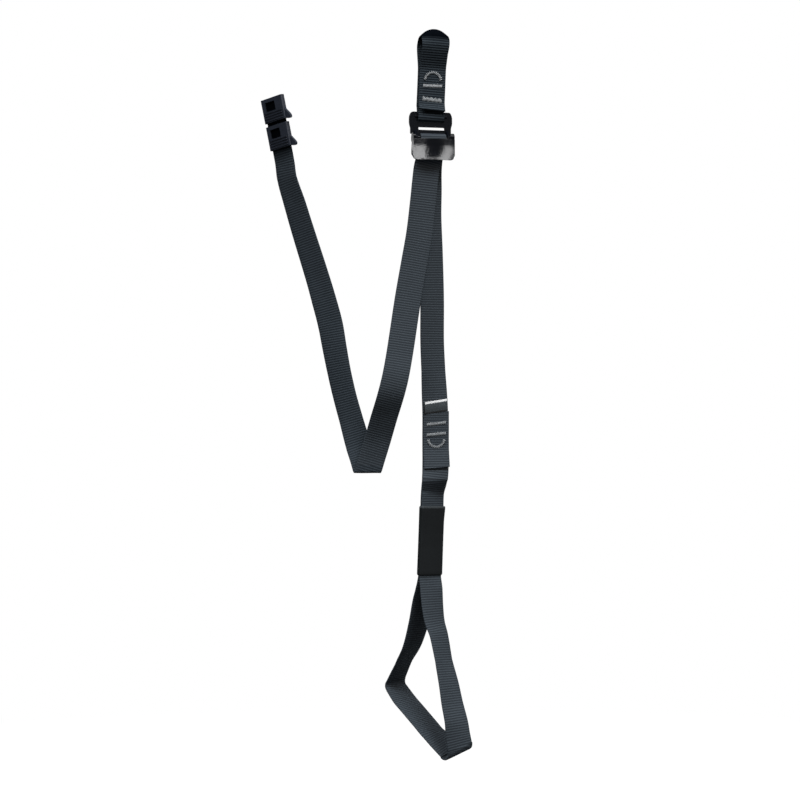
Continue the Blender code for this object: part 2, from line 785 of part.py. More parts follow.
def bar_wrap_knots():
    """Knots of the strap over the release bar, from the tail's side to the standing side."""
    wrap = wrap_radius(RELEASE_BAR_RADIUS)
    middle = eye_lean(-BAR_DROP)
    y = -PIVOT_FORWARD
    z = -BAR_DROP - PIVOT_DROP
    level = Vector((1, 0, 0))
    knots = [(Vector((middle, y - wrap, z - wrap)), level, 0)]
    for j in range(WRAP_STEPS + 1):
        angle = math.pi * (1 - j / WRAP_STEPS)
        place = Vector((middle, y + wrap * math.cos(angle), z + wrap * math.sin(angle)))
        knots.append((place, level, 0))
    knots.append((Vector((middle, y + wrap, z - wrap)), level, 0))
    return knots


def layered_over(stations, high_drop, low_drop):
    """Knots of a second layer in front of a run, from its low end up, with its bulge."""
    knots = []
    for before, here, after in zip(stations, stations[1:], stations[2:]):
        place, line, slant = here
        if not high_drop < -place.z < low_drop:
            continue
        run = (after[0] - before[0]).normalized()
        face = run.cross(line - run * line.dot(run)).normalized()
        away = min(1.0, abs(place.z + BULGE_DROP) / BULGE_REACH)
        lift = BULGE_LIFT * (1 + math.cos(math.pi * away)) / 2
        knots.append((place + face * (WEB_THICK + SEAT_GAP + lift), line, slant))
    return knots[::-1]


def sole_knots():
    """Knots of the tread: a straight flat run between the loop's two corners."""
    back = route_knots(BACK_ARM_ROUTE[-1:])
    front = route_knots(FRONT_ARM_ROUTE[:1])
    return back + route_knots(SOLE_ROUTE) + front


def strap_stations():
    """The strap from the tail's fold over the release bar, round the foot loop to its end."""
    knots = route_knots(TAIL_FRONT_ROUTE)[::-1] + bar_wrap_knots()
    knots += route_knots(STANDING_ROUTE + BACK_ARM_ROUTE[1:])
    stand = spline_stations(knots, ROUTE_STEP)
    over = max(range(len(stand)), key=lambda i: stand[i][0].z)
    doubled = layered_over(stand[over:], SPLICE_TOP_DROP + STRAP_END_COVER, DOUBLED_DROP)
    sole = spline_stations(sole_knots(), ROUTE_STEP)
    front = spline_stations(route_knots(FRONT_ARM_ROUTE) + doubled, ROUTE_STEP)
    return fold_join(fold_join(stand, sole, BACK_FOLD_TRIM), front, FRONT_FOLD_TRIM)


def mark_at(stations, drop, after):
    """Distance along the run at which it first passes a height beyond another distance."""
    marks = lengths_along(stations)
    for i in range(len(stations) - 1):
        a = stations[i][0].z
        b = stations[i + 1][0].z
        if marks[i] >= after and a != b and min(a, b) <= -drop <= max(a, b):
            return marks[i] + (marks[i + 1] - marks[i]) * (-drop - a) / (b - a)
    return marks[-1]


def mark_of_lowest(stations):
    """Distance along the run of its lowest station."""
    marks = lengths_along(stations)
    return marks[min(range(len(stations)), key=lambda i: stations[i][0].z)]


def make_strap(parent, origin):
    """The strap's stretches that hang rigid below the buckle, end to end."""
    path = strap_stations()
    tail = mark_at(path, BUCKLE_CUT_DROP + BAR_DROP, 0.0)
    stand = mark_at(path, BUCKLE_CUT_DROP + BAR_DROP, tail + WEB_WIDTH)
    splice = mark_at(path, SPLICE_TOP_DROP + SPLICE_LENGTH * SPLICE_CUT_SHARE, stand)
    back = mark_at(path, BACK_ARM_JOIN_DROP, splice)
    front = mark_at(path, FRONT_ARM_JOIN_DROP, mark_of_lowest(path))
    end = lengths_along(path)[-1]
    names = ("tail_front_limb", "strap_over_release_bar", "standing_strap", "foot_back_arm",
             "foot_sole", "foot_front_arm")
    half = SEAT_GAP / 2
    cuts = (half, tail, stand, splice, back, front, end)
    for name, first, last in zip(names, cuts, cuts[1:]):
        piece = stretch_between(path, first + half, last - half)
        webbing_piece(name, piece, parent, origin)


# Splice

def splice_middle():
    """Middle line of the layers at the splice, and their turn, in the object's frame."""
    knots = route_knots(STANDING_ROUTE)
    near = min(knots, key=lambda k: abs(k[0].z + SPLICE_TOP_DROP + SPLICE_LENGTH / 2))
    turn = math.atan2(near[1].y, near[1].x)
    return near[0], turn


def make_splice(parent, origin):
    """The cover of webbing over the strap's end, its label and its stitching."""
    place, turn = splice_middle()
    layer = WEB_THICK + SEAT_GAP
    out = Matrix.Rotation(turn, 3, "Z") @ Vector((0, -1, 0))
    cover_middle = place + out * layer * 2
    line = Matrix.Rotation(turn, 3, "Z") @ Vector((1, 0, 0))
    knots = []
    for share in (0.0, 0.5, 1.0):
        z = -(SPLICE_TOP_DROP + SPLICE_LENGTH * share)
        knots.append((Vector((cover_middle.x, cover_middle.y, z)), line, 0))
    cover = with_runs(spline_stations(knots, ROUTE_STEP))
    webbing_piece("splice_cover", cover, parent, origin)

    lift = WEB_THICK / 2 + SEAT_GAP
    for name, drop in zip(("foot_bar_tack_upper", "foot_bar_tack_lower"), FOOT_TACK_DROPS):
        make_tack(name, cover_middle, drop, turn, lift, 0.0, parent)
    make_moon("foot_half_moon_stitch", cover_middle, FOOT_MOON_DROP, turn, lift, 0.0, False, parent)

    bm = bmesh.new()
    half = LABEL_WIDTH / 2
    label_middle = place + out * lift
    height = LABEL_HEIGHT
    outline = [(-half, -height / 2), (half, -height / 2), (half, height / 2), (-half, height / 2)]
    drop = SPLICE_TOP_DROP - height / 2 - SEAT_GAP
    thin_slab(bm, outline, label_middle, drop, turn, 0.0, 0.0, LABEL_THICK)
    add_object("label_tab", bm, "woven_label", parent, origin)


# Elastic sleeve

def tube_between(name, top, bottom, line, outer, inner, finish_name, parent, origin):
    """A flat tube along a straight run, with the same outline inside and out."""
    run = (bottom - top).normalized()
    line = (line - run * line.dot(run)).normalized()
    back = line.cross(run)
    bm = bmesh.new()
    rings = []
    for outline, place in ((outer, top), (outer, bottom), (inner, bottom), (inner, top)):
        rings.append([bm.verts.new(place + line * x + back * y) for x, y in outline])
    for r in range(4):
        a, b = rings[r], rings[(r + 1) % 4]
        for j in range(len(a)):
            k = (j + 1) % len(a)
            bm.faces.new((a[j], a[k], b[k], b[j]))
    return add_object(name, bm, finish_name, parent, origin)


def sleeve_run():
    """Top, bottom and cross line of the straight run that the elastic sleeve sits on."""
    knots = route_knots(STANDING_ROUTE)
    layer = (WEB_THICK + SEAT_GAP) / 2
    low, high = knots[-1], knots[-5]
    line = low[1]
    out = line.cross((low[0] - high[0]).normalized()).normalized()

    def at(drop):
        share = (high[0].z + drop) / (high[0].z - low[0].z)
        return high[0].lerp(low[0], share) - out * layer

    return at(SLEEVE_TOP_DROP), at(SLEEVE_TOP_DROP + SLEEVE_LENGTH), line


def make_sleeve(parent, origin):
    """The elastic sleeve round both arms of the foot loop."""
    top, bottom, line = sleeve_run()
    inner_w = WEB_WIDTH / 2 + RUN_GAP
    inner_d = WEB_THICK + SEAT_GAP / 2 + RUN_GAP
    inner = box_outline(inner_w, inner_d)
    outer = box_outline(inner_w + SLEEVE_WALL, inner_d + SLEEVE_WALL)
    return tube_between("elastic_sleeve", top, bottom, line, outer, inner,
                        "black_elastic", parent, origin)


def box_outline(half_width, half_depth):
    """Outline of a flat tube with rounded corners."""
    soft = half_depth * TUBE_CORNER_SHARE
    outline = []
    for sx, sy, start in ((1, 1, 0), (-1, 1, 90), (-1, -1, 180), (1, -1, 270)):
        for j in range(TUBE_CORNER_STEPS + 1):
            angle = (start + 90 * j / TUBE_CORNER_STEPS) * DEG
            x = sx * (half_width - soft) + soft * math.cos(angle)
            y = sy * (half_depth - soft) + soft * math.sin(angle)
            outline.append((x, y))
    return outline


# Tail and keepers

def tail_back_stations():
    """The tail's rising limb, from the fold to its free end."""
    return spline_stations(route_knots(TAIL_BACK_ROUTE), ROUTE_STEP)


def keeper_frame(top_distance):
    """Top point, run and cross line of a keeper, measured down from the tail's end."""
    knots = route_knots(TAIL_BACK_ROUTE)
    end, low = knots[-1], knots[-3]
    run = (low[0] - end[0]).normalized()
    line = (end[1] - run * end[1].dot(run)).normalized()
    return end[0] + run * top_distance, run, line


def local_box(corner_a, corner_b, place, line, back, up):
    """A box between two corners given along a keeper's own axes."""
    bm = bmesh.new()
    corners = []
    for x in (corner_a[0], corner_b[0]):
        for y in (corner_a[1], corner_b[1]):
            for z in (corner_a[2], corner_b[2]):
                corners.append(bm.verts.new(place + line * x + back * y + up * z))
    quads = ((0, 1, 3, 2), (4, 6, 7, 5), (0, 4, 5, 1), (2, 3, 7, 6), (0, 2, 6, 4), (1, 5, 7, 3))
    for quad in quads:
        bm.faces.new([corners[q] for q in quad])
    return bm


def flared_lug(start, half_depth, place, line, back, up):
    """The rounded lug that flares out of a keeper's lower corner."""
    bm = bmesh.new()
    layers = []
    for y in (-half_depth, half_depth):
        layer = []
        for reach, down in KEEPER_LUG_SHARES:
            x = start + reach * (KEEPER_LUG + KEEPER_WALL / 2)
            layer.append(bm.verts.new(place + line * x + back * y - up * KEEPER_HEIGHT * down))
        layers.append(layer)
    return close_slab(bm, *layers)


def make_keeper(name, top_distance, parent):
    """A moulded strap keeper: a flat loop with a window, grip ribs and a corner lug."""
    top, run, line = keeper_frame(top_distance)
    bottom = top + run * KEEPER_HEIGHT
    up = -run
    back = line.cross(run)
    out = back if back.y < 0 else -back
    inner_w = WEB_WIDTH / 2 + RUN_GAP
    inner_d = WEB_THICK / 2 + RUN_GAP
    outer_w = inner_w + KEEPER_WALL
    outer_d = inner_d + KEEPER_WALL
    pivot = add_pivot(f"{name}_run", top, parent)
    keeper = tube_between(name, top, bottom, line, box_outline(outer_w, outer_d),
                          box_outline(inner_w, inner_d), "black_plastic", pivot, top)

    window_top = -KEEPER_WINDOW_DROP
    aside = KEEPER_WINDOW_ASIDE
    window = local_box((-KEEPER_WINDOW_WIDTH / 2 - aside, inner_d / 2, window_top - KEEPER_WINDOW_HEIGHT),
                       (KEEPER_WINDOW_WIDTH / 2 - aside, outer_d * 2, window_top), top, line, out, up)
    combine(keeper, add_object(f"{name}_window_cutter", window, "black_plastic"), "DIFFERENCE")
    first = window_top - KEEPER_WINDOW_HEIGHT - KEEPER_RIB
    for j in range(KEEPER_RIB_COUNT):
        z = first - KEEPER_RIB_PITCH * j
        rib = local_box((-inner_w + KEEPER_WALL, inner_d + KEEPER_WALL / 2, z - KEEPER_RIB),
                        (inner_w - KEEPER_WALL, outer_d + KEEPER_RIB, z), top, line, out, up)
        combine(keeper, add_object(f"{name}_rib_form_{j}", rib, "black_plastic"), "UNION")
    lug = flared_lug(outer_w - KEEPER_WALL / 2, outer_d / 2, top, line, out, up)
    combine(keeper, add_object(f"{name}_lug_form", lug, "black_plastic"), "UNION")
    return keeper


def build():
    """The whole foot loop, from the eye down."""
    clear_scene()
    eye = add_pivot("eye_hold", Vector())
    make_eye(eye)
    layer = WEB_THICK + SEAT_GAP
    lift = layer + WEB_THICK / 2 + SEAT_GAP
    for name, drop in zip(("eye_bar_tack_upper", "eye_bar_tack_lower"), EYE_TACK_DROPS):
        middle = Vector((eye_lean(-drop), 0, 0))
        make_tack(name, middle, drop, 0.0, lift, EYE_LEAN, eye)
    middle = Vector((eye_lean(-EYE_MOON_DROP), 0, 0))
    make_moon("eye_half_moon_stitch", middle, EYE_MOON_DROP, 0.0, lift, EYE_LEAN, True, eye)

    hinge = buckle_point(0.0, 0.0, 0.0)
    buckle = add_pivot("buckle_swing", hinge, eye)
    make_frame(buckle, hinge)
    pivot_point = buckle_point(0.0, -PIVOT_FORWARD, -PIVOT_DROP)
    release = add_pivot("release_tilt", pivot_point, buckle)
    make_release_plate(release, pivot_point)
    make_strap(buckle, hinge)
    make_splice(buckle, hinge)
    sleeve_top = sleeve_run()[0]
    sleeve = add_pivot("sleeve_run", sleeve_top, buckle)
    make_sleeve(sleeve, sleeve_top)

    across, _, up = TAIL_BACK_ROUTE[0][:3]
    crease = turned_to_front(across, 0.0, up) * ROUTE_UNIT
    fold = add_pivot("tail_fold", crease, buckle)
    stations = tail_back_stations()
    length = lengths_along(stations)[-1]
    webbing_piece("tail_back_limb", stretch_between(stations, SEAT_GAP, length), fold, crease)
    make_keeper("upper_keeper", KEEPER_END_MARGIN, fold)
    make_keeper("lower_keeper", KEEPER_END_MARGIN + KEEPER_HEIGHT + KEEPER_SPACE, fold)


build()
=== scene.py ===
# %% [markdown]
# # A webbing foot loop for climbing a rope
# The real object is one long black strap. It hangs from a short sewn eye and a steel buckle,
# runs down through an elastic sleeve and opens into a triangle that a boot stands in. The spare
# strap folds back up at the left and carries two small plastic keepers.
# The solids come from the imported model, which this script loads first and never moves.

# %% Load the fixed frame
import math

import bmesh
import bpy
from mathutils import Matrix, Vector
from mathutils.geometry import interpolate_bezier


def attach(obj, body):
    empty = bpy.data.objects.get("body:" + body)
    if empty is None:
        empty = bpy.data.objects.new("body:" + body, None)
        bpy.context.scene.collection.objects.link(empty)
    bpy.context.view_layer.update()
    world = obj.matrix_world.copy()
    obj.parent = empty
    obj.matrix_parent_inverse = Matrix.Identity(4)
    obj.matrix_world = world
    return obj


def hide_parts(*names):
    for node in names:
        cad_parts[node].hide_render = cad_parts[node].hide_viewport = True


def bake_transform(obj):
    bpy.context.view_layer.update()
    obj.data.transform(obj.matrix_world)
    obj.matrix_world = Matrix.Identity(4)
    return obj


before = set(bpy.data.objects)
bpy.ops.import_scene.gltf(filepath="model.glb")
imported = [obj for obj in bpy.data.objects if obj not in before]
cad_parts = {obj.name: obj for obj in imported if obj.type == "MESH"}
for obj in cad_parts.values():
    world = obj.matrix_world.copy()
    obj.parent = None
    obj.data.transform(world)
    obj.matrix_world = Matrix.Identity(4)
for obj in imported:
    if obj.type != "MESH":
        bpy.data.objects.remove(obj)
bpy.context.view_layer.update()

# %% [markdown]
# ## Units and the front view
# Every length is in metres. The strap's route was read from the photograph, so its points are
# written as the camera sees them: across, back and up, in millimetres. The camera stands a
# little to the left of the buckle's own front, so those points are turned by that angle.

# %% Units and the turn of the front view
MM = 0.001
DEG = math.pi / 180
PHOTO_TURN = 14 * DEG
FACE_ON = Matrix.Rotation(-PHOTO_TURN, 3, "Z")


def from_photo(across, back, up):
    """A place written as the camera sees it, in millimetres, in the frame's metres."""
    return FACE_ON @ Vector((across, back, up)) * MM


def in_scene(name, data):
    """A new object for a mesh, a lamp or a camera, put into the scene."""
    made = bpy.data.objects.new(name, data)
    bpy.context.scene.collection.objects.link(made)
    return made


print("front view turned by", round(PHOTO_TURN / DEG), "degrees")

# %% [markdown]
# ## Camera
# A product photographer steps back and uses a long lens, so the strap keeps its proportions.
# The camera is level with the middle of the object, two metres away. These numbers are in
# millimetres.

# %% Camera at the photograph's viewing angle
CAMERA_AWAY = 2000
AIM = (-34, -369)
LENS = 90
SENSOR = 36
camera_data = bpy.data.cameras.new("camera")
camera_data.lens = LENS
camera_data.sensor_width = SENSOR
camera = in_scene("camera", camera_data)
camera.location = from_photo(AIM[0], -CAMERA_AWAY, AIM[1])
camera.rotation_euler = (90 * DEG, 0, -PHOTO_TURN)
bpy.context.scene.camera = camera
print("camera at", tuple(round(c, 3) for c in camera.location))

# %% [markdown]
# ## Shader sums
# A material is easier to read when its sums look like sums. A small class wraps one socket, and
# each operator adds the Math node that does it. A second one adds any other kind of node, and
# has short names for the few that most finishes need. The plain numbers in a finish's sums are
# shares of its patterns.

# %% A wire that can be added, taken away and multiplied
class Wire:
    """One value or colour in a shader. Sums on it add Math nodes."""

    def __init__(self, paint, socket):
        self.paint = paint
        self.socket = socket

    def sums(self, how, *values):
        return self.paint.node("ShaderNodeMath", {"operation": how}, dict(enumerate(values)))

    def __add__(self, other):
        return self.sums("ADD", self, other)

    def __mul__(self, other):
        return self.sums("MULTIPLY", self, other)

    def __sub__(self, other):
        return self.sums("SUBTRACT", self, other)

    def __rsub__(self, other):
        return self.sums("SUBTRACT", other, self)

    def __truediv__(self, other):
        return self.sums("DIVIDE", self, other)

    def __abs__(self):
        return self.sums("ABSOLUTE", self)

    def twin(self, key):
        """Another output of the same node."""
        return Wire(self.paint, self.socket.node.outputs[key])


# %% A paint that adds nodes to one material
class Paint:
    """The nodes of one material or of the world, added one at a time."""

    def __init__(self, owner):
        owner.use_nodes = True
        self.owner = owner
        self.tree = owner.node_tree

    def node(self, kind, settings, sockets, out=0):
        """Add a node: its settings first, then its sockets' values or links."""
        made = self.tree.nodes.new(kind)
        for key, value in settings.items():
            setattr(made, key, value)
        for key, value in sockets.items():
            self.feed(made.inputs[key], value)
        return Wire(self, made.outputs[out])

    def feed(self, socket, value):
        if isinstance(value, Wire):
            self.tree.links.new(value.socket, socket)
        else:
            socket.default_value = value

    def body(self):
        """Where the point is on its own object."""
        return self.node("ShaderNodeTexCoord", {}, {}, "Object")

    def mixed(self, share, first, second):
        """A colour between two others."""
        sockets = {0: share, 6: first, 7: second}
        return self.node("ShaderNodeMix", {"data_type": "RGBA"}, sockets, 2)

    def noise(self, place, scale, detail=3.0):
        """Soft cloudy variation from 0 to 1."""
        sockets = {"Vector": place, "Scale": scale, "Detail": detail}
        return self.node("ShaderNodeTexNoise", {}, sockets)

    def between(self, value, low, high):
        """The value stretched so that low gives 0 and high gives 1."""
        return self.node("ShaderNodeMapRange", {"clamp": True}, {0: value, 1: low, 2: high})

    def bump(self, strength, distance, height, **under):
        """A raised pattern, on top of another Normal where one is given."""
        sockets = {"Strength": strength, "Distance": distance, "Height": height}
        return self.node("ShaderNodeBump", {}, sockets | under)

    def surface(self, **values):
        """Values or links of the Principled shader's sockets."""
        shader = self.tree.nodes["Principled BSDF"]
        for key, value in values.items():
            self.feed(shader.inputs[key.replace("_", " ").title().replace("Ior", "IOR")], value)


def new_paint(name):
    """A fresh material to paint."""
    return Paint(bpy.data.materials.new(name))


def grey(level, blue=0.0):
    """A neutral colour, a little bluer where asked."""
    return (level, level * (1 + blue * 0.6), level * (1 + blue), 1)


print("shader helpers ready")

# %% [markdown]
# ## Studio
# The photograph was taken under soft light from above, so faces that look up are lighter and
# faces that look down go nearly black. Three soft suns do that here. A sun's row gives its
# strength, then the way it comes from, its height over the horizon and its softness in degrees.
# Two panels, high in front, show up only as the white shapes in the glossy steel. A panel's row
# gives its radiance, the way it comes from and its width. The paper is white only to the camera
# and to reflections, so it adds hardly any light to the black strap.

# %% Lights
SUNS = {"overhead": (4.2, 18, 58, 24), "from_left": (2.3, -69, 50, 30),
        "from_behind": (0.8, 165, 50, 40)}
PANELS = {"left_panel": (85, -14, 0.8), "right_panel": (68, 45, 0.7)}
PANEL_ELEVATION = 31
PANEL_HEIGHT = 1.42
PANEL_AWAY = 2.0
STEEL_DROP = 0.12
FILL_STRENGTH = 0.04


def sun(name, strength, azimuth, elevation, soft):
    """A distant soft light, so that the top and the foot of the strap are lit alike."""
    data = bpy.data.lights.new(name, "SUN")
    data.energy = strength
    data.angle = soft * DEG
    lamp = in_scene(name, data)
    lamp.rotation_euler = ((90 - elevation) * DEG, 0, azimuth * DEG)


def panel(name, radiance, azimuth, width):
    """A soft panel above the object, which the glossy steel mirrors."""
    data = bpy.data.lights.new(name, "AREA")
    data.shape = "RECTANGLE"
    data.size = width
    data.size_y = PANEL_HEIGHT
    data.energy = radiance * width * PANEL_HEIGHT * math.pi
    lamp = in_scene(name, data)
    lamp.visible_diffuse = False
    lamp.visible_camera = False
    lamp.rotation_euler = ((90 - PANEL_ELEVATION) * DEG, 0, azimuth * DEG)
    facing = lamp.rotation_euler.to_matrix()
    lamp.location = facing @ Vector((0, 0, PANEL_AWAY)) - Vector((0, 0, STEEL_DROP))


for name, row in SUNS.items():
    sun(name, *row)
for name, row in PANELS.items():
    panel(name, *row)
bpy.context.scene.view_settings.view_transform = "Standard"
print(len(SUNS), "suns and", len(PANELS), "panels")


# %% White surroundings
def seen_white(paint):
    """1 for rays from the camera, from a mirror or through glass."""
    path = paint.node("ShaderNodeLightPath", {}, {}, "Is Camera Ray")
    seen = path.sums("MAXIMUM", path, path.twin("Is Glossy Ray"))
    return seen.sums("MAXIMUM", seen, path.twin("Is Transmission Ray"))


world = bpy.data.worlds.new("studio")
bpy.context.scene.world = world
air = Paint(world)
backdrop = air.tree.nodes["Background"]
air.feed(backdrop.inputs["Color"], (1, 1, 1, 1))
strength = seen_white(air) * (1 - FILL_STRENGTH) + FILL_STRENGTH
air.feed(backdrop.inputs["Strength"], strength)
print("fill light", FILL_STRENGTH)

# %% [markdown]
# ## Floor
# The loop hangs free, so the floor is well below it and out of the picture. It is pale paper
# that keeps a soft shadow near the object and fades to plain white further off.

# %% Paper floor
FLOOR_DROP = 0.98
FLOOR_REACH = 12
SHADOW_NEAR = 0.9
SHADOW_FAR = 2.2
SHADOW_SHARE = 0.3
PAPER_BOUNCE = grey(0.10)
PAPER_WHITE = grey(0.86)

paper = new_paint("paper")
seen = seen_white(paper)
paper.surface(base_color=paper.mixed(seen, PAPER_BOUNCE, PAPER_WHITE), roughness=0.9,
              specular_ior_level=0.1)
spot = paper.node("ShaderNodeNewGeometry", {}, {}, "Position")
away = paper.node("ShaderNodeVectorMath", {"operation": "LENGTH"}, {0: spot}, "Value")
bare = paper.between(away, SHADOW_NEAR, SHADOW_FAR) * SHADOW_SHARE + (1 - SHADOW_SHARE)
white = paper.node("ShaderNodeEmission", {}, {"Color": (1, 1, 1, 1), "Strength": 1.0})
lit = paper.tree.nodes["Principled BSDF"].outputs[0]
mix = paper.node("ShaderNodeMixShader", {}, {0: seen * bare, 1: Wire(paper, lit), 2: white})
paper.tree.links.new(mix.socket, paper.tree.nodes["Material Output"].inputs["Surface"])

floor_mesh = bpy.data.meshes.new("floor")
corners = ((-1, -1), (1, -1), (1, 1), (-1, 1))
floor_mesh.from_pydata([(x * FLOOR_REACH, y * FLOOR_REACH, 0) for x, y in corners],
                       [], [(0, 1, 2, 3)])
floor_mesh.materials.append(paper.owner)
floor = in_scene("floor", floor_mesh)
floor.location.z = -FLOOR_DROP
print("floor", FLOOR_DROP, "m below the eye")

# %% [markdown]
# ## Webbing finish
# Flat nylon webbing has a rib across it at every weft thread, and each rib is covered by fine
# warp yarns that step sideways from one rib to the next. The ribs are real geometry. The yarns
# are far finer than a pixel, so they are bump and a slight change of tone. Both are measured
# along and across the strap, which every band below stores in its UV map in metres. The ribs'
# valleys are also painted darker and their crests lighter, as painted shade and light on top of
# the real ribs.

# %% Webbing finish
RIB_PITCH = 2.45 * MM
YARN_PITCH = 0.85 * MM
YARN_RISE = 0.09 * MM
WEAVE_MAP = "weave"
NYLON = ((0.016, 0.020, 0.025, 1), (0.049, 0.061, 0.073, 1))
# Near-black tones for a stretch painted dark: the eye's crown, and the painted shade on the tail
# where the keepers slide.
DARKENED_NYLON = ((0.0003, 0.0006, 0.001, 1), (0.003, 0.004, 0.006, 1))


def weave_place(paint):
    """Across and along the strap, in metres."""
    place = paint.node("ShaderNodeUVMap", {"uv_map": WEAVE_MAP}, {})
    across = paint.node("ShaderNodeSeparateXYZ", {}, {0: place})
    return across, across.twin("Y")


def ridges(place, pitch):
    """Even ridges in one direction, from 0 to 1."""
    return abs(place.sums("SINE", place * (math.pi / pitch)))


def webbing_paint(name, dark, light, darkened_at=None, reach=16 * MM, soft=3 * MM):
    """Ribbed nylon with fine yarns: valleys painted darker as shade, crests lighter; flattened and
    painted near black at one place if asked.
    """
    paint = new_paint(name)
    across, along = weave_place(paint)
    ribs = along / RIB_PITCH
    swell = ribs.sums("SINE", ribs * math.pi)
    crest = swell * swell
    step = ribs.sums("FLOOR", ribs) * 0.5
    yarn = abs(step.sums("SINE", (across / YARN_PITCH + step) * math.pi))
    body = paint.body()
    patches = paint.noise(body, 22.0)
    fuzz = paint.noise(body, 2600.0, 2.0)
    # The ribs' valleys are painted darker and the crests lighter, as painted shade and light over
    # the real ribs; the patches and fuzz are the webbing's own uneven tone.
    share = crest * 0.62 + yarn * crest * 0.2 + patches * 0.16 + fuzz * 0.1 - 0.05
    height = crest * 0.4 + yarn * crest * 0.5 + fuzz * 0.25
    tone = paint.mixed(share, dark, light)
    # At the place given, the ribs are flattened and the colour is painted near black with no
    # shine: at the eye's crown, and as painted shade on the tail inside the keepers.
    if darkened_at is not None:
        near = abs(along - darkened_at) + (patches - 0.5) * (3 * MM)
        flat_and_dark = paint.between(near, reach + soft, reach - soft)
        height = height * (1 - flat_and_dark * 0.9)
        tone = paint.mixed(flat_and_dark, tone, paint.mixed(patches, *DARKENED_NYLON))
    shine = 0.02 if darkened_at is None else 0.0
    paint.surface(base_color=tone, roughness=0.86 - crest * 0.14, specular_ior_level=shine,
                  normal=paint.bump(0.8, YARN_RISE, height))
    return paint.owner


BLACK_WEBBING = webbing_paint("black_webbing", *NYLON)
print("rib pitch", RIB_PITCH / MM, "mm")

# %% [markdown]
# ## Bands
# Every strap on the object is the same thing: a flat band that follows a route. A knot of the
# route has a place, the line across the strap there, and a slant for folds, where the crease
# isn't square to the strap. A smooth curve goes through the knots, and the band is cut into
# even steps along it, four to each rib, so that the ribs can be raised in the mesh.

# %% Knots and smooth routes
WEB_WIDTH = 26.3 * MM
WEB_THICK = 1.9 * MM
SEAT_GAP = 0.3 * MM
COARSE_STEP = 3 * MM
FINE_STEP = 1.5 * MM


def cross_line(turn, roll):
    """The direction across the webbing, from its turn and roll in degrees."""
    flat = math.cos(roll * DEG)
    line = Vector((flat * math.cos(turn * DEG), flat * math.sin(turn * DEG), math.sin(roll * DEG)))
    return FACE_ON @ line


def route_knots(route):
    """Knots from rows of across, back, up and turn, then roll and slant where they aren't 0."""
    knots = []
    for row in route:
        across, back, up, turn, roll, slant = row + (0,) * (6 - len(row))
        knots.append((from_photo(across, back, up), cross_line(turn, roll), slant))
    return knots


def smooth_run(knots, step):
    """Places along a smooth curve through the knots."""
    places = [knot[0] for knot in knots]
    spans = [(b - a).length for a, b in zip(places, places[1:])]
    slopes = [(places[1] - places[0]) / spans[0]]
    for i in range(1, len(places) - 1):
        slopes.append((places[i + 1] - places[i - 1]) / (spans[i - 1] + spans[i]))
    slopes.append((places[-1] - places[-2]) / spans[-1])
    run = []
    for i, span in enumerate(spans):
        count = max(2, round(span / step) + 1)
        first = places[i] + slopes[i] * span / 3
        second = places[i + 1] - slopes[i + 1] * span / 3
        curve = interpolate_bezier(places[i], first, second, places[i + 1], count)
        for j, point in enumerate(curve[1 if i else 0:], 1 if i else 0):
            share = j / (count - 1)
            line = knots[i][1].lerp(knots[i + 1][1], share).normalized()
            slant = knots[i][2] + (knots[i + 1][2] - knots[i][2]) * share
            run.append((point.copy(), line, slant))
    return run


def distances(run):
    """How far along the run each place is."""
    found = [0.0]
    for a, b in zip(run, run[1:]):
        found.append(found[-1] + (b[0] - a[0]).length)
    return found


def creased(first, second, trim, steps=16):
    """Two runs that meet at a fold, with the fold rounded as an arc of a circle."""
    corner, line, slant = first[-1]
    before = [s for s in first if (s[0] - corner).length > trim]
    after = [s for s in second if (s[0] - corner).length > trim]
    one = (before[-1][0] - corner).normalized()
    two = (after[0][0] - corner).normalized()
    half = one.angle(two) / 2
    radius = trim * math.tan(half)
    inward = (one + two).normalized()
    across = (two - one).normalized()
    middle = corner + inward * (radius / math.sin(half))
    widest = math.pi / 2 - half
    bend = []
    for j in range(steps + 1):
        angle = widest * (2 * j / steps - 1)
        place = middle + (across * math.sin(angle) - inward * math.cos(angle)) * radius
        bend.append((place, line, slant))
    return before + bend + after


def evenly(run, step, start=0.0, end=None):
    """The run cut into even steps, each with its direction and its distance."""
    marks = distances(run)
    end = marks[-1] if end is None else end
    count = max(2, round((end - start) / step))
    found = []
    i = 0
    for j in range(count + 1):
        mark = start + (end - start) * j / count
        while i < len(marks) - 2 and marks[i + 1] < mark:
            i += 1
        share = (mark - marks[i]) / max(marks[i + 1] - marks[i], 1e-9)
        a, b = run[i], run[i + 1]
        line = a[1].lerp(b[1], share).normalized()
        found.append([a[0].lerp(b[0], share), line, a[2] + (b[2] - a[2]) * share, mark])
    last = len(found) - 1
    for j, row in enumerate(found):
        way = found[min(j + 1, last)][0] - found[max(j - 1, 0)][0]
        row.append(way.normalized())
    return found


print("route helpers ready")

# %% [markdown]
# The band itself: two ribbed faces and two rounded selvages. The rib's phase is worked out at
# every corner of the mesh, not once for each ring, so ribs stay square to the strap at a fold.
# A slanted ring is stretched so that the strap keeps its width, but only a little, because a
# full stretch would throw the corners of a fold far out.

# %% The band mesh
RIB_DEPTH = 0.19 * MM
SELVAGE = 0.8 * MM
SELVAGE_ANGLES = (50, 0, -50)
SELVAGE_SHARE = 0.45
SLANT_LEAST = 0.97
SHARP_CLOTH = 55 * DEG


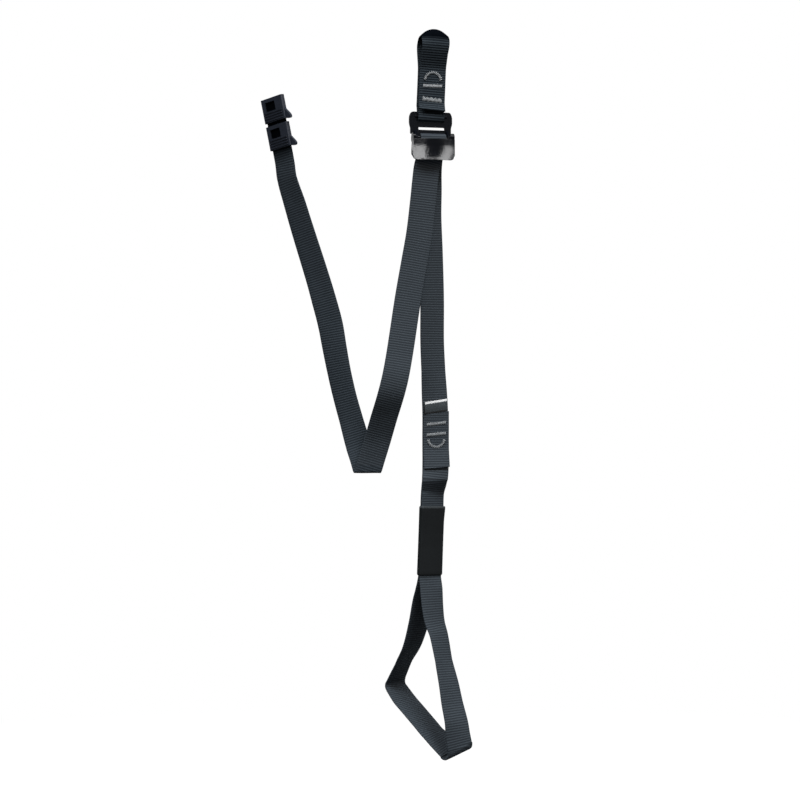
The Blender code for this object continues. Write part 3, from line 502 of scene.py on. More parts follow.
def band_section(width, thick, columns):
    """Points round the band's section: offset, rise and how much of the rib they carry."""
    inner = width / 2 - SELVAGE
    top = [(-inner + 2 * inner * j / columns, thick / 2, 1.0) for j in range(columns + 1)]
    side = []
    for angle in SELVAGE_ANGLES:
        out = SELVAGE * math.cos(angle * DEG)
        side.append((inner + out, thick / 2 * math.sin(angle * DEG), SELVAGE_SHARE))
    under = [(-x, -rise, share) for x, rise, share in top]
    other = [(-x, -rise, share) for x, rise, share in side]
    return top + side + under + other


def girths(section):
    """How far round the section each corner is, and the whole girth."""
    found = [0.0]
    for a, b in zip(section, section[1:] + section[:1]):
        found.append(found[-1] + math.hypot(b[0] - a[0], b[1] - a[1]))
    return found


def ring_quads(rounds, count, joined=False):
    """Faces between one ring and the next, each with its ring, its corner and the next ring."""
    for i in range(rounds if joined else rounds - 1):
        for j in range(count):
            n, k = (i + 1) % rounds, (j + 1) % count
            yield i, j, n, (i * count + j, i * count + k, n * count + k, n * count + j)


def band_mesh(name, rows, width, thick, columns=4, depth=RIB_DEPTH, cups=None, shares=None):
    """A ribbed band along even rows: flat, cupped across its width or narrowed in places."""
    section = band_section(width, thick, columns)
    ring = len(section)
    girth = girths(section)
    verts = []
    alongs = []
    for i, (place, line, slant, mark, way) in enumerate(rows):
        square = (line - way * line.dot(way)).normalized()
        line = square.lerp(line, slant).normalized()
        face = way.cross(line)
        line = line / max(face.length, SLANT_LEAST)
        face.normalize()
        lean = line.dot(way)
        bend = cups[i] if cups else 0.0
        narrow = shares[i] if shares else 1.0
        for offset, rise, share in section:
            offset = offset * narrow
            along = mark + offset * lean
            sunk = depth * share * math.cos(math.pi * along / RIB_PITCH) ** 2
            high = math.copysign(max(abs(rise) - sunk, 0.0), rise)
            if bend:
                aside = math.sin(offset * bend) / bend
                drop = (1 - math.cos(offset * bend)) / bend
            else:
                aside, drop = offset, 0.0
            out = face * math.cos(offset * bend) + line * math.sin(offset * bend)
            verts.append(place + line * aside - face * drop + out * high)
            alongs.append(along)
    faces = []
    uvs = []
    for i, j, n, quad in ring_quads(len(rows), ring):
        faces.append(quad)
        sides = (girth[j], girth[j + 1], girth[j + 1], girth[j])
        uvs += [(side, alongs[v]) for side, v in zip(sides, quad)]
    for start in (0, (len(rows) - 1) * ring):
        cap = list(range(start, start + ring))
        faces.append(cap)
        uvs += [(girth[j], alongs[start + j]) for j in range(ring)]
    return closed_mesh(name, verts, faces, uvs)


def closed_mesh(name, verts, faces, uvs=None):
    """A mesh with its faces turned outward, shaded smooth, and its weave map."""
    mesh = bpy.data.meshes.new(name)
    mesh.from_pydata(verts, [], faces)
    if uvs:
        layer = mesh.uv_layers.new(name=WEAVE_MAP)
        layer.data.foreach_set("uv", [c for uv in uvs for c in uv])
    bm = bmesh.new()
    bm.from_mesh(mesh)
    bmesh.ops.recalc_face_normals(bm, faces=bm.faces)
    bm.to_mesh(mesh)
    bm.free()
    mesh.shade_smooth()
    mesh.set_sharp_from_angle(angle=SHARP_CLOTH)
    return mesh


def add_piece(name, mesh, material, body=None):
    """Put a mesh into the scene with its finish, riding on its body."""
    mesh.materials.append(material)
    made = in_scene(name, mesh)
    if body:
        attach(made, body)
    return made


print("four rows to each rib:", round(RIB_PITCH / 4 / MM, 2), "mm apart")

# %% [markdown]
# ## Main strap
# One strap runs from the fold of the tail, up the front, over the buckle's release bar, down
# through the splice and sleeve, round the tread and back up under the splice cover. On the real
# object it is a single piece, so it is modelled as one band that stands for six solids. A row of
# a route is a knot: across, back and up in millimetres and its turn in degrees. Its roll and its
# slant, from 0 to 1, follow only where they aren't 0.

# %% Routes of the strap
TAIL_FRONT = (
    (-7.1, -9.8, -136, 12), (-8.8, -9.5, -149, 11), (-11.2, -9.6, -173, 9),
    (-14.7, -10.5, -203, 6), (-19.7, -12.0, -232, 3), (-26.0, -14.5, -268, 1),
    (-34.0, -21.0, -321, 0), (-38.5, -25.0, -346, 0), (-43.0, -23.5, -364, 0),
    (-50.3, -12.8, -388, 0), (-55.8, -6.0, -407, 0), (-61.0, -3.0, -424, 0, 0, 0.4),
    (-66.7, -1.2, -443, 0, 0, 1),
)
STANDING = (
    (-4.6, -2.2, -137, 18), (-4.4, -1.0, -160, 22), (-4.5, 1.0, -185, 24), (-3.0, 2.0, -222, 25),
    (-1.8, 2.5, -268, 25), (-1.8, 2.5, -310, 25), (-0.6, 2.2, -340, 23), (0.5, 1.8, -364, 13),
    (1.2, 1.1, -382, 10), (1.2, 1.1, -409, 10), (1.2, 1.1, -437, 10), (0.4, 1.1, -448, 18),
    (-0.9, 1.1, -455.5, 26), (-2.2, 1.1, -463, 34), (-2.656, 1.1, -476, 34),
    (-3.567, 1.1, -502, 34), (-4.865, 1.1, -539, 34), (-5.11, 1.1, -546, 34),
)
BACK_ARM = (
    (-7.2, 3.0, -557, 32), (-10.6, 9.0, -570, 35), (-15.2, 15.5, -594, 38),
    (-21.9, 23.5, -618, 45), (-30.4, 33.5, -636, 52), (-40.2, 43.0, -659, 41, 6.5, 1),
)
FRONT_ARM = (
    (28.2, -31.0, -725.5, 14, 23, 1), (23.4, -32.2, -702, 20, 12, 0.2), (21.4, -31.5, -686, 29),
    (17.5, -27.0, -668, 36), (14.3, -23.0, -650, 42), (9.3, -16.5, -627, 51),
    (4.65, -10.5, -603, 47), (0.6, -7.2, -590, 41), (-1.5, -5.0, -575, 36),
    (-2.8, -2.6, -557, 31),
)
SOLE = (
    (-29.6, 28.6, -672.6, 32, 8), (-22.45, 19.525, -679.7, 32, 8), (-8.15, 1.375, -693.9, 32, 8),
    (-1.0, -7.7, -701.0, 32, 8),
)
LEFT_TRIM = 5 * MM
RIGHT_TRIM = 15 * MM
BAR_DROP = 86 * MM
PIVOT_DROP = 22 * MM
PIVOT_FORWARD = 5.5 * MM
RELEASE_BAR = 2.4 * MM
EYE_LEAN = math.tan(2.4 * DEG)
BAR_ASIDE = 0.9 * MM
DOUBLED_FROM = 384.5 * MM
DOUBLED_TO = 547 * MM
print("knots:", len(TAIL_FRONT + STANDING + BACK_ARM + FRONT_ARM + SOLE))

# %% [markdown]
# The strap's end comes back up in front of itself. Above the sleeve it isn't pulled tight, so it
# bulges forward once, and the splice cover's lower part follows it. The bulge is a table of drops
# and distances in millimetres, with straight lines between them.

# %% Over the release bar and back up as a second layer
BULGE = ((417, 0.0), (449, 7.5), (459.5, 0.6), (464, 0.0))


def over_the_bar(steps=8):
    """Knots round the release bar, from the tail's side to the standing side."""
    wrap = RELEASE_BAR + SEAT_GAP + WEB_THICK / 2
    middle = BAR_ASIDE - BAR_DROP * EYE_LEAN
    height = -BAR_DROP - PIVOT_DROP
    level = Vector((1, 0, 0))
    knots = [(Vector((middle, -PIVOT_FORWARD - wrap, height - wrap)), level, 0)]
    for j in range(steps + 1):
        angle = math.pi * (1 - j / steps)
        y = -PIVOT_FORWARD + wrap * math.cos(angle)
        knots.append((Vector((middle, y, height + wrap * math.sin(angle))), level, 0))
    knots.append((Vector((middle, -PIVOT_FORWARD + wrap, height - wrap)), level, 0))
    return knots


def bulge_at(drop):
    """How far the front layers stand out at a drop, in metres."""
    for (high, first), (low, second) in zip(BULGE, BULGE[1:]):
        if high * MM <= drop < low * MM:
            return (first + (second - first) * (drop / MM - high) / (low - high)) * MM
    return 0.0


def second_layer(run, high, low):
    """Knots of the strap's end, which lies on the standing strap and bulges once."""
    knots = []
    toward = FACE_ON @ Vector((0, -1, 0))
    for before, here, after in zip(run, run[1:], run[2:]):
        place, line, slant = here
        if not high < -place.z < low:
            continue
        way = (after[0] - before[0]).normalized()
        face = way.cross(line - way * line.dot(way)).normalized()
        place = place + face * (WEB_THICK + SEAT_GAP) + toward * bulge_at(-place.z)
        knots.append((place, line, slant))
    return knots[::-1]


def strap_run():
    """The whole strap, from the tail's fold to its end under the splice cover."""
    knots = route_knots(TAIL_FRONT)[::-1] + over_the_bar() + route_knots(STANDING + BACK_ARM)
    coarse = smooth_run(knots, COARSE_STEP)
    over = max(range(len(coarse)), key=lambda i: coarse[i][0].z)
    doubled = second_layer(coarse[over:], DOUBLED_FROM, DOUBLED_TO)
    back = route_knots(BACK_ARM)[-1]
    front = route_knots(FRONT_ARM)[0]
    sole = smooth_run([back] + route_knots(SOLE) + [front], FINE_STEP)
    arm = smooth_run(route_knots(FRONT_ARM) + doubled, FINE_STEP)
    stand = smooth_run(knots, FINE_STEP)
    return creased(creased(stand, sole, LEFT_TRIM), arm, RIGHT_TRIM)


# %% Strap band
FOLD_KEEP = 9 * MM
strap_path = strap_run()
strap_length = distances(strap_path)[-1]
rows = evenly(strap_path, RIB_PITCH / 4, FOLD_KEEP)
strap = add_piece("strap_webbing", band_mesh("strap_webbing", rows, WEB_WIDTH, WEB_THICK),
                  BLACK_WEBBING, "strap")
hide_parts("tail_front_limb", "strap_over_release_bar", "standing_strap",
            "foot_back_arm", "foot_sole", "foot_front_arm")
print("strap", round(strap_length, 4), "m,", len(strap.data.polygons), "faces")

# %% [markdown]
# ## Tail
# Below its fold the strap turns back on itself and rises to its free end. The fold is part of
# this band. The tail's last few centimetres, where the keepers slide, are painted near black as
# the shade in and between the keepers, and their ribs are flattened.

# %% Tail band
TAIL_BACK = (
    (-66.7, 1.2, -443, 0, 0, 1), (-71.3, 3.2, -427, -6, 0, 0.4), (-76.5, 6.2, -412, -16),
    (-83.0, 8.6, -389, -23), (-89.6, 9.4, -365, -25), (-95.1, 9.6, -341, -24),
    (-99.7, 9.5, -317, -20), (-104.0, 9.3, -293, -15), (-110.3, 9.0, -269, -17),
    (-117.2, 8.7, -245, -22), (-132.2, 8.3, -197, -28), (-139.7, 8.0, -172, -32),
    (-147.4, 8.0, -147, -40), (-149.8, 8.0, -130, -41), (-156.4, 8.0, -96, -41),
    (-162.1, 8.0, -66.5, -41),
)
TURN_RADIUS = 1.2 * MM
TURN_KEEP = TURN_RADIUS * 1.3
TURN_STEPS = 10
# How far from the tail's end the painted shade of the keepers reaches, and how softly it ends.
KEEPER_SHADE_REACH = 56 * MM
KEEPER_SHADE_FADE = 9 * MM


def tail_run():
    """From the front limb, round the tight fold, up to the free end."""
    marks = distances(strap_path)
    lower = [s for s, mark in zip(strap_path, marks) if TURN_KEEP < mark < FOLD_KEEP]
    lower.append(evenly(strap_path, FINE_STEP, 0, FOLD_KEEP)[-1][:3])
    upper = smooth_run(route_knots(TAIL_BACK), FINE_STEP)
    upper = [s for s in upper if s[0].z > upper[0][0].z + TURN_KEEP]
    before, after = lower[0], upper[0]
    turn = []
    for j in range(1, TURN_STEPS):
        t = j / TURN_STEPS
        place = before[0].lerp(after[0], 0.5 - 0.5 * math.cos(math.pi * t))
        place = place - Vector((0, 0, TURN_RADIUS * math.sin(math.pi * t)))
        turn.append((place, before[1], 1.0))
    return lower[::-1] + turn + upper


tail_path = tail_run()
tail_length = distances(tail_path)[-1]
tail_rows = evenly(tail_path, RIB_PITCH / 4)
# The tail's last few centimetres are painted near black as the shade in and between the keepers,
# and their ribs are flattened.
keeper_shaded = webbing_paint("keeper_shaded_webbing", *NYLON, tail_length, KEEPER_SHADE_REACH, KEEPER_SHADE_FADE)
tail = add_piece("tail_webbing", band_mesh("tail_webbing", tail_rows, WEB_WIDTH, WEB_THICK),
                 keeper_shaded)
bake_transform(tail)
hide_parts("tail_back_limb")
print("tail", round(tail_length, 4), "m")

# %% [markdown]
# ## Eye
# The eye is a second, wider band: up the front, over the carabiner, round the buckle's top bar
# and up again inside, where three layers are sewn together. The carabiner has pressed the crown
# into a dome, so the band is cupped there. At the crown its ribs are flattened, and it is painted
# near black, without shine. The front end lies loose on the turn below it and flares forward. The
# front layer and the turn round the bar are pulled a little narrower.

# %% Eye band
EYE_WIDTH = 29 * MM
TOP_BAR = 2.2 * MM
EYE_HALF_GAP = 10 * MM
EYE_BULGE = 13 * MM
EYE_SEWN_TOP = 38.5 * MM
EYE_FRONT_END = 80 * MM
EYE_INNER_END = 78 * MM
FRONT_FLARE = ((0.0, 4.3), (2.0, 3.1), (4.2, 1.5), (7.5, 0.3), (11.0, 0.0))
LOOP_SLACK = 1.6 * MM
END_SLOPE = 0.08
PULLED_SHARE = 0.93
BOW_SHARES = (0.24, 0.56, 0.86)
SHOULDER = (0.74, 0.27)
BEHIND_BAR = (0.93, 0.55)
TURN_KNOTS = 8
# The eye's valleys are painted darker still, for stronger painted shade between its ribs.
EYE_NYLON = ((0.006, 0.008, 0.011, 1), (0.048, 0.060, 0.071, 1))


def eye_knots():
    """Knots of the eye's band, from its front end to its inner end."""
    layer = WEB_THICK + SEAT_GAP
    wrap = TOP_BAR + SEAT_GAP + WEB_THICK / 2
    flare = EYE_SEWN_TOP - EYE_BULGE
    side = [(layer + out * MM, rise * MM - EYE_FRONT_END) for rise, out in FRONT_FLARE]
    side += [(layer, -(EYE_FRONT_END + EYE_SEWN_TOP) / 2), (layer, -EYE_SEWN_TOP)]
    top = len(side) - 1
    for quarter, share in enumerate(BOW_SHARES, 1):
        out = layer + (EYE_HALF_GAP - layer) * share
        side.append((out, -(EYE_SEWN_TOP - flare * quarter / 4)))
    side += [(EYE_HALF_GAP, -EYE_BULGE)]
    side += [(EYE_HALF_GAP * SHOULDER[0], -EYE_BULGE * SHOULDER[1])]
    profile = [(-y, z) for y, z in side] + [(0.0, WEB_THICK / 2)]
    profile += [(y, z) for y, z in reversed(side[top:])] + [(layer, -(BAR_DROP - wrap * 3))]
    low = -BAR_DROP - LOOP_SLACK
    for j in range(TURN_KNOTS + 1):
        angle = math.pi * j / TURN_KNOTS
        profile.append((wrap * math.cos(angle), low - wrap * math.sin(angle)))
    profile.append((-wrap * BEHIND_BAR[0], -BAR_DROP + wrap * BEHIND_BAR[1]))
    inside = EYE_INNER_END + SEAT_GAP * 2
    profile += [(0.0, -inside), (0.0, -(inside + EYE_SEWN_TOP) / 2), (0.0, -EYE_SEWN_TOP)]
    knots = [(Vector((z * EYE_LEAN, y, z)), Vector((1, 0, 0)), 0) for y, z in profile]
    sloped = Vector((1, 0, -END_SLOPE)).normalized()
    return [(place, sloped, 1.0) for place, line, slant in knots[:2]] + knots[2:]


def eye_cups(rows, crown, reach=23 * MM, radius=16 * MM):
    """How much each row curls across: most at the crown, flat below."""
    fades = [max(0.0, 1 - abs(row[3] - crown) / reach) for row in rows]
    return [-fade * fade * (3 - 2 * fade) / radius for fade in fades]


def eye_shares(rows, crown, turn, dome=15 * MM, hook=18 * MM, hook_fade=8 * MM):
    """How wide each row is: full over the dome, narrower in front and round the bar."""
    found = []
    for row in rows:
        front = max(0.0, min(1.0, (crown - dome - row[3]) / dome))
        low = max(0.0, min(1.0, (row[3] - turn + hook) / hook_fade))
        found.append(1 - (1 - PULLED_SHARE) * max(front, low))
    return found


eye_rows = evenly(smooth_run(eye_knots(), FINE_STEP), RIB_PITCH / 4)
eye_crown = max(eye_rows, key=lambda row: row[0].z)[3]
eye_turn = min(eye_rows, key=lambda row: row[0].z)[3]
eye_mesh = band_mesh("eye_webbing_band", eye_rows, EYE_WIDTH, WEB_THICK, 10, RIB_DEPTH * 1.5,
                     eye_cups(eye_rows, eye_crown), eye_shares(eye_rows, eye_crown, eye_turn))
# The crown of the eye is painted near black, and its ribs are flattened.
dark_crown_webbing = webbing_paint("dark_crown_webbing", *EYE_NYLON, eye_crown)
eye = add_piece("eye_band", eye_mesh, dark_crown_webbing, "eye")
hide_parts("eye_webbing")
print("eye", round(eye_rows[-1][3], 4), "m of webbing")

# %% [markdown]
# ## Splice cover
# A short piece of the same webbing is sewn over the strap's end, so that nothing can catch. Its
# slopes are a table of how far down the cover a line across it is, and how steeply it rises.

# %% Splice cover
SPLICE_TOP = 382 * MM
SPLICE_LENGTH = 54.5 * MM
SPLICE_MIDDLE = from_photo(1.2, 1.1, -409)
SPLICE_LINE = cross_line(10, 0)
SPLICE_OUT = Vector((SPLICE_LINE.y, -SPLICE_LINE.x, 0))
TOP_SLOPE = 0.15
COVER_SLOPES = ((0, TOP_SLOPE), (0.25, 0.1), (0.62, 0.04), (0.82, 0.05), (1, 0.07))


def rising_line(slope):
    """The line across the splice, rising to the right."""
    return (SPLICE_LINE + Vector((0, 0, slope))).normalized()


def at_splice(drop, out):
    """A place on the splice's middle line, at a drop and a distance in front."""
    place = SPLICE_MIDDLE + SPLICE_OUT * out
    return Vector((place.x, place.y, -drop))


layer = WEB_THICK + SEAT_GAP
cover_knots = []
for share, slope in COVER_SLOPES:
    drop = SPLICE_TOP + SPLICE_LENGTH * share
    cover_knots.append((at_splice(drop, layer * 2 + bulge_at(drop)), rising_line(slope), 1.0))
cover_rows = evenly(smooth_run(cover_knots, FINE_STEP), RIB_PITCH / 4)
cover_mesh = band_mesh("splice_cover_band", cover_rows, WEB_WIDTH, WEB_THICK)
cover = add_piece("splice_cover_band", cover_mesh, BLACK_WEBBING, "strap")
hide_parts("splice_cover")
print("cover", round(SPLICE_LENGTH / MM, 1), "mm")

# %% [markdown]
# ## Stitching
# Bar tacks and half moons are zigzag rows of thick silver thread. Each stroke of the thread
# comes up through the webbing, crosses and goes down again, so it is modelled as one tube that
# rises in the middle of each stroke.

# %% Thread finish
THREAD_TONES = grey(0.09, 0.16), grey(0.36, 0.12)
thread_paint = new_paint("silver_thread")
body = thread_paint.body()
fibres = thread_paint.noise(body, 3200.0, 2.0)
worn = thread_paint.noise(body, 160.0)
tone = thread_paint.mixed(fibres * 0.6 + worn * 0.5 - 0.15, *THREAD_TONES)
thread_paint.surface(base_color=tone, roughness=0.55, specular_ior_level=0.2,
                     normal=thread_paint.bump(0.6, 0.05 * MM, fibres))
SILVER_THREAD = thread_paint.owner
print("thread finish ready")

# %% Thread tubes
THREAD_RADIUS = 0.26 * MM


def thread_mesh(name, points, radius=THREAD_RADIUS, sides=6):
    """A round thread along the points, closed at both ends."""
    verts = []
    for i, point in enumerate(points):
        way = (points[min(i + 1, len(points) - 1)] - points[max(i - 1, 0)]).normalized()
        side = way.cross(Vector((0.3, -1, 0.2))).normalized()
        up = way.cross(side)
        for j in range(sides):
            angle = 2 * math.pi * j / sides
            verts.append(point + side * radius * math.cos(angle) + up * radius * math.sin(angle))
    faces = [quad for i, j, n, quad in ring_quads(len(points), sides)]
    last = (len(points) - 1) * sides
    faces += [list(range(sides)), list(range(last, last + sides))]
    return closed_mesh(name, verts, faces)


def zigzag(ends, out, rise=0.42 * MM, steps=5):
    """Points of a zigzag between pairs of ends, lifting off the webbing in each stroke."""
    points = []
    for a, b in zip(ends, ends[1:]):
        for j in range(steps):
            t = j / steps
            points.append(a.lerp(b, t) + out * rise * math.sin(math.pi * t))
    return points + [ends[-1]]


def bar_ends(middle, line, up, width=19.5 * MM, height=3.4 * MM, pitch=0.56 * MM, ragged=0.0):
    """Ends of a bar tack's strokes, even or ragged."""
    count = round(width / pitch)
    ends = []
    for j in range(count + 1):
        side = 0.5 if j % 2 else -0.5
        stray = ragged * (math.sin(j * 2.3) + math.sin(j * 0.83 + 1)) / 2
        ends.append(middle + line * width * (j / count - 0.5) + up * height * (side + stray))
    return ends


def moon_ends(middle, line, up, rising, radius=9.6 * MM, band=2.8 * MM, count=30, start=4):
    """Ends of a half moon's strokes, on an arch up or down."""
    ends = []
    for j in range(count + 1):
        angle = (start + (180 - 2 * start) * j / count) * DEG
        reach = radius if j % 2 else radius - band
        high = math.sin(angle) * (1 if rising else -1)
        ends.append(middle + line * reach * math.cos(angle) + up * reach * high)
    return ends


def sew(node, ends, out, body_name):
    """One row of thread in place of its plain solid."""
    mesh = thread_mesh(node + "_thread", zigzag(ends, out))
    row = add_piece(node + "_thread", mesh, SILVER_THREAD, body_name)
    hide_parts(node)


# %% Sew the eye and the splice
THREAD_OUT = 0.1 * MM
EYE_MOON = 50.2 * MM
EYE_TACK_UPPER = 55.6 * MM
EYE_TACK_LOWER = 69.4 * MM
EYE_TACK_SLOPE = -0.09
SPLICE_TACKS = {"foot_bar_tack_upper": (392.6 * MM, 0.11),
                "foot_bar_tack_lower": (403.1 * MM, 0.09)}
SPLICE_MOON = 407.8 * MM


def on_eye(drop):
    """A place on the eye's front face."""
    return Vector((-drop * EYE_LEAN, -(layer + WEB_THICK / 2) - THREAD_OUT, -drop))


level = Vector((1, 0, 0))
sloped = Vector((1, 0, EYE_TACK_SLOPE)).normalized()
eye_up = Vector((EYE_LEAN, 0, 1)).normalized()
forward = Vector((0, -1, 0))
sew("eye_bar_tack_upper", bar_ends(on_eye(EYE_TACK_UPPER), level, eye_up), forward, "eye")
low_tack = bar_ends(on_eye(EYE_TACK_LOWER), sloped, eye_up, height=4.2 * MM, ragged=0.18)
sew("eye_bar_tack_lower", low_tack, forward, "eye")
sew("eye_half_moon_stitch", moon_ends(on_eye(EYE_MOON), level, eye_up, True), forward, "eye")

up = Vector((0, 0, 1))
face = layer * 2 + WEB_THICK / 2 + THREAD_OUT
for node, (drop, slope) in SPLICE_TACKS.items():
    sew(node, bar_ends(at_splice(drop, face), rising_line(slope), up), SPLICE_OUT, "strap")
sew("foot_half_moon_stitch", moon_ends(at_splice(SPLICE_MOON, face), SPLICE_LINE, up, False),
    SPLICE_OUT, "strap")
print("six rows of stitching")

# %% [markdown]
# ## Label
# A small woven label is caught under the top of the splice cover. It is left bare, with a pale
# border along its top. It is softer than the webbing, so it bows out a little, and its weave is
# much finer. The bow is a table of how far down the label a place is, and how far it stands out
# in millimetres.

# %% Label
LABEL_WIDTH = 23 * MM
LABEL_HEIGHT = 12.2 * MM
LABEL_THICK = 0.45 * MM
LABEL_BOW = ((0, 0.3), (0.3, 0.75), (0.6, 0.8), (0.85, 0.5), (1, 0.3))
LABEL_ROWS = 0.6 * MM
LABEL_WARP = 0.32 * MM
LABEL_WEFT = 0.4 * MM
BORDER_WIDTH = 2.5 * MM
BORDER_SOFT = 0.2 * MM
TUCK_SHADOW_FROM = LABEL_HEIGHT - 2.0 * MM
TUCK_SHADOW_TO = LABEL_HEIGHT - 0.9 * MM
LABEL_TONES = grey(0.016, 0.4), grey(0.052, 0.4)
BORDER_TONE = grey(0.72, 0.02)
TUCK_SHADOW_TONE = grey(0.002)
label_paint = new_paint("woven_label")
across, along = weave_place(label_paint)
cloth = ridges(across, LABEL_WARP) * ridges(along, LABEL_WEFT)
rough = label_paint.noise(label_paint.body(), 300.0)
tone = label_paint.mixed(cloth * 0.6 + rough * 0.4, *LABEL_TONES)
from_top = along + (across - LABEL_WIDTH / 2 + SELVAGE) * TOP_SLOPE
border = label_paint.between(from_top + rough * (0.5 * MM),
                             BORDER_WIDTH + BORDER_SOFT, BORDER_WIDTH - BORDER_SOFT)
tone = label_paint.mixed(border, tone, BORDER_TONE)
# The strip that goes under the splice cover is painted near black as its shadow.
painted_tuck_shadow = label_paint.between(from_top, TUCK_SHADOW_FROM, TUCK_SHADOW_TO)
tone = label_paint.mixed(painted_tuck_shadow * 0.9, tone, TUCK_SHADOW_TONE)
label_paint.surface(base_color=tone, roughness=0.7, specular_ior_level=0.04,
                    normal=label_paint.bump(0.6, 0.05 * MM, cloth))

label_knots = []
for share, bow in LABEL_BOW:
    drop = SPLICE_TOP - SEAT_GAP - LABEL_HEIGHT * (1 - share)
    out = WEB_THICK / 2 + SEAT_GAP + bow * MM
    label_knots.append((at_splice(drop, out), rising_line(TOP_SLOPE), 1.0))
label_rows = evenly(smooth_run(label_knots, FINE_STEP), LABEL_ROWS)
label_mesh = band_mesh("label_cloth", label_rows, LABEL_WIDTH, LABEL_THICK, 6, 0.0)
label = add_piece("label_cloth", label_mesh, label_paint.owner, "strap")
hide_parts("label_tab")
print("label", LABEL_WIDTH / MM, "by", LABEL_HEIGHT / MM, "mm")

# %% [markdown]
# ## Elastic sleeve
# A short tube of elastic keeps the two arms of the loop together. Rubber cords run along it, so
# it shows fine lines down its length. Its upper hem is painted paler, a painted highlight for
# the light from above on its edge. Both ends are turned in, and the front of the upper mouth
# flares, so that the bulge above it stays clear when the sleeve slides up. A hem's row gives the
# share of the length and the share of the wall.

# %% Elastic finish
CORD_PITCH = 1.05 * MM
PICK_PITCH = 0.5 * MM
HEM_HIGHLIGHT_REACH = (2.4 * MM, 1.4 * MM)
ELASTIC_TONES = grey(0.004, 0.3), grey(0.013, 0.3)
HEM_HIGHLIGHT_TONE = grey(0.042, 0.25)
elastic_paint = new_paint("black_elastic")
across, along = weave_place(elastic_paint)
cords = ridges(across, CORD_PITCH)
knit = cords * 0.7 + ridges(along, PICK_PITCH) * cords * 0.3
patches = elastic_paint.noise(elastic_paint.body(), 60.0)
tone = elastic_paint.mixed(knit * 0.5 + patches * 0.4, *ELASTIC_TONES)
# The upper hem is painted paler, a painted highlight for the light from above on its edge.
hem = elastic_paint.between(along, *HEM_HIGHLIGHT_REACH)
tone = elastic_paint.mixed(hem * 0.9, tone, HEM_HIGHLIGHT_TONE)
elastic_paint.surface(base_color=tone, roughness=0.85, specular_ior_level=0.02,
                      normal=elastic_paint.bump(0.7, 0.08 * MM, knit))
print("elastic finish ready")

# %% Sleeve tube
SLEEVE_TOP = 475 * MM
SLEEVE_LENGTH = 69 * MM
SLEEVE_WALL = 0.7 * MM
RUN_GAP = 0.35 * MM
UPPER_HEM = [(0.006, 0.0), (0.0, 0.1), (0.002, 0.45), (0.012, 0.8), (0.024, 1.0)]
LOWER_HEM = [(0.976, 1.0), (0.988, 0.8), (0.998, 0.45), (1.0, 0.1), (0.994, 0.0)]
WAIST = 0.14
SLEEVE_STEPS = 24
MOUTH_FLARE = 1.5 * MM
MOUTH_SHARE = 0.22


def sleeve_line():
    """Top, bottom, cross line and depth direction of the straight run in the sleeve."""
    knots = route_knots(STANDING)
    high, low = knots[-5], knots[-1]
    way = (low[0] - high[0]).normalized()
    line = (low[1] - way * low[1].dot(way)).normalized()
    back = line.cross(way)

    def at(drop):
        share = (high[0].z + drop) / (high[0].z - low[0].z)
        return high[0].lerp(low[0], share) - back.normalized() * (WEB_THICK + SEAT_GAP) / 2

    return at(SLEEVE_TOP), at(SLEEVE_TOP + SLEEVE_LENGTH), line, back


def tube_section(half_width, half_depth, steps=8, rounding=0.62):
    """A flat ring with round sides."""
    soft = half_depth * rounding
    ring = []
    for sx, sy, start in ((1, 1, 0), (-1, 1, 90), (-1, -1, 180), (1, -1, 270)):
        for j in range(steps + 1):
            angle = (start + 90 * j / steps) * DEG
            ring.append((sx * (half_width - soft) + soft * math.cos(angle),
                         sy * (half_depth - soft) + soft * math.sin(angle)))
    return ring


def sleeve_mesh():
    """The tube, with turned-in ends and a slight waist where nothing fills it."""
    top, bottom, line, back = sleeve_line()
    width = WEB_WIDTH / 2 + RUN_GAP
    depth = WEB_THICK + SEAT_GAP / 2 + RUN_GAP
    spots = [j / SLEEVE_STEPS for j in range(1, SLEEVE_STEPS)]
    waist = [(0.03 + 0.94 * t, 1 - WAIST * math.sin(math.pi * t)) for t in spots]
    profile = UPPER_HEM + waist + LOWER_HEM
    verts = []
    faces = []
    uvs = []
    for share, out in profile:
        ring = tube_section(width + SLEEVE_WALL * out, depth + SLEEVE_WALL * out)
        place = top.lerp(bottom, share)
        mouth = MOUTH_FLARE * max(0.0, 1 - share / MOUTH_SHARE)
        verts += [place + line * x + back * (y - mouth if y < 0 else y) for x, y in ring]
    girth = girths(ring)
    for i, j, n, quad in ring_quads(len(profile), len(ring), joined=True):
        faces.append(quad)
        low, high = (profile[r][0] * SLEEVE_LENGTH for r in (i, n))
        uvs += [(girth[j], low), (girth[j + 1], low), (girth[j + 1], high), (girth[j], high)]
    return closed_mesh("elastic_tube", verts, faces, uvs), girth[-1]


tube, round_it = sleeve_mesh()
sleeve = add_piece("elastic_tube", tube, elastic_paint.owner, "sleeve")
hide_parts("elastic_sleeve")
print("sleeve", round(round_it / MM, 1), "mm round")

# %% [markdown]
# ## Steel
# The buckle is stamped from plate and blackened. A stamped edge is never sharp, so each piece is
# a copy of its solid with the edges rounded. The rounded faces are marked, and the black finish
# is a little rubbed there. The thumb plate is slightly dished, which shows only in what it
# mirrors, so the dish is bump.

# %% Metal finish
WEAR_MARK = "edge_wear"
DISH_TOP = 114 * MM
DISH_REACH = 7 * MM
DISH_SLOPE = 0.1
DISH_WAVE = 1.5 * MM


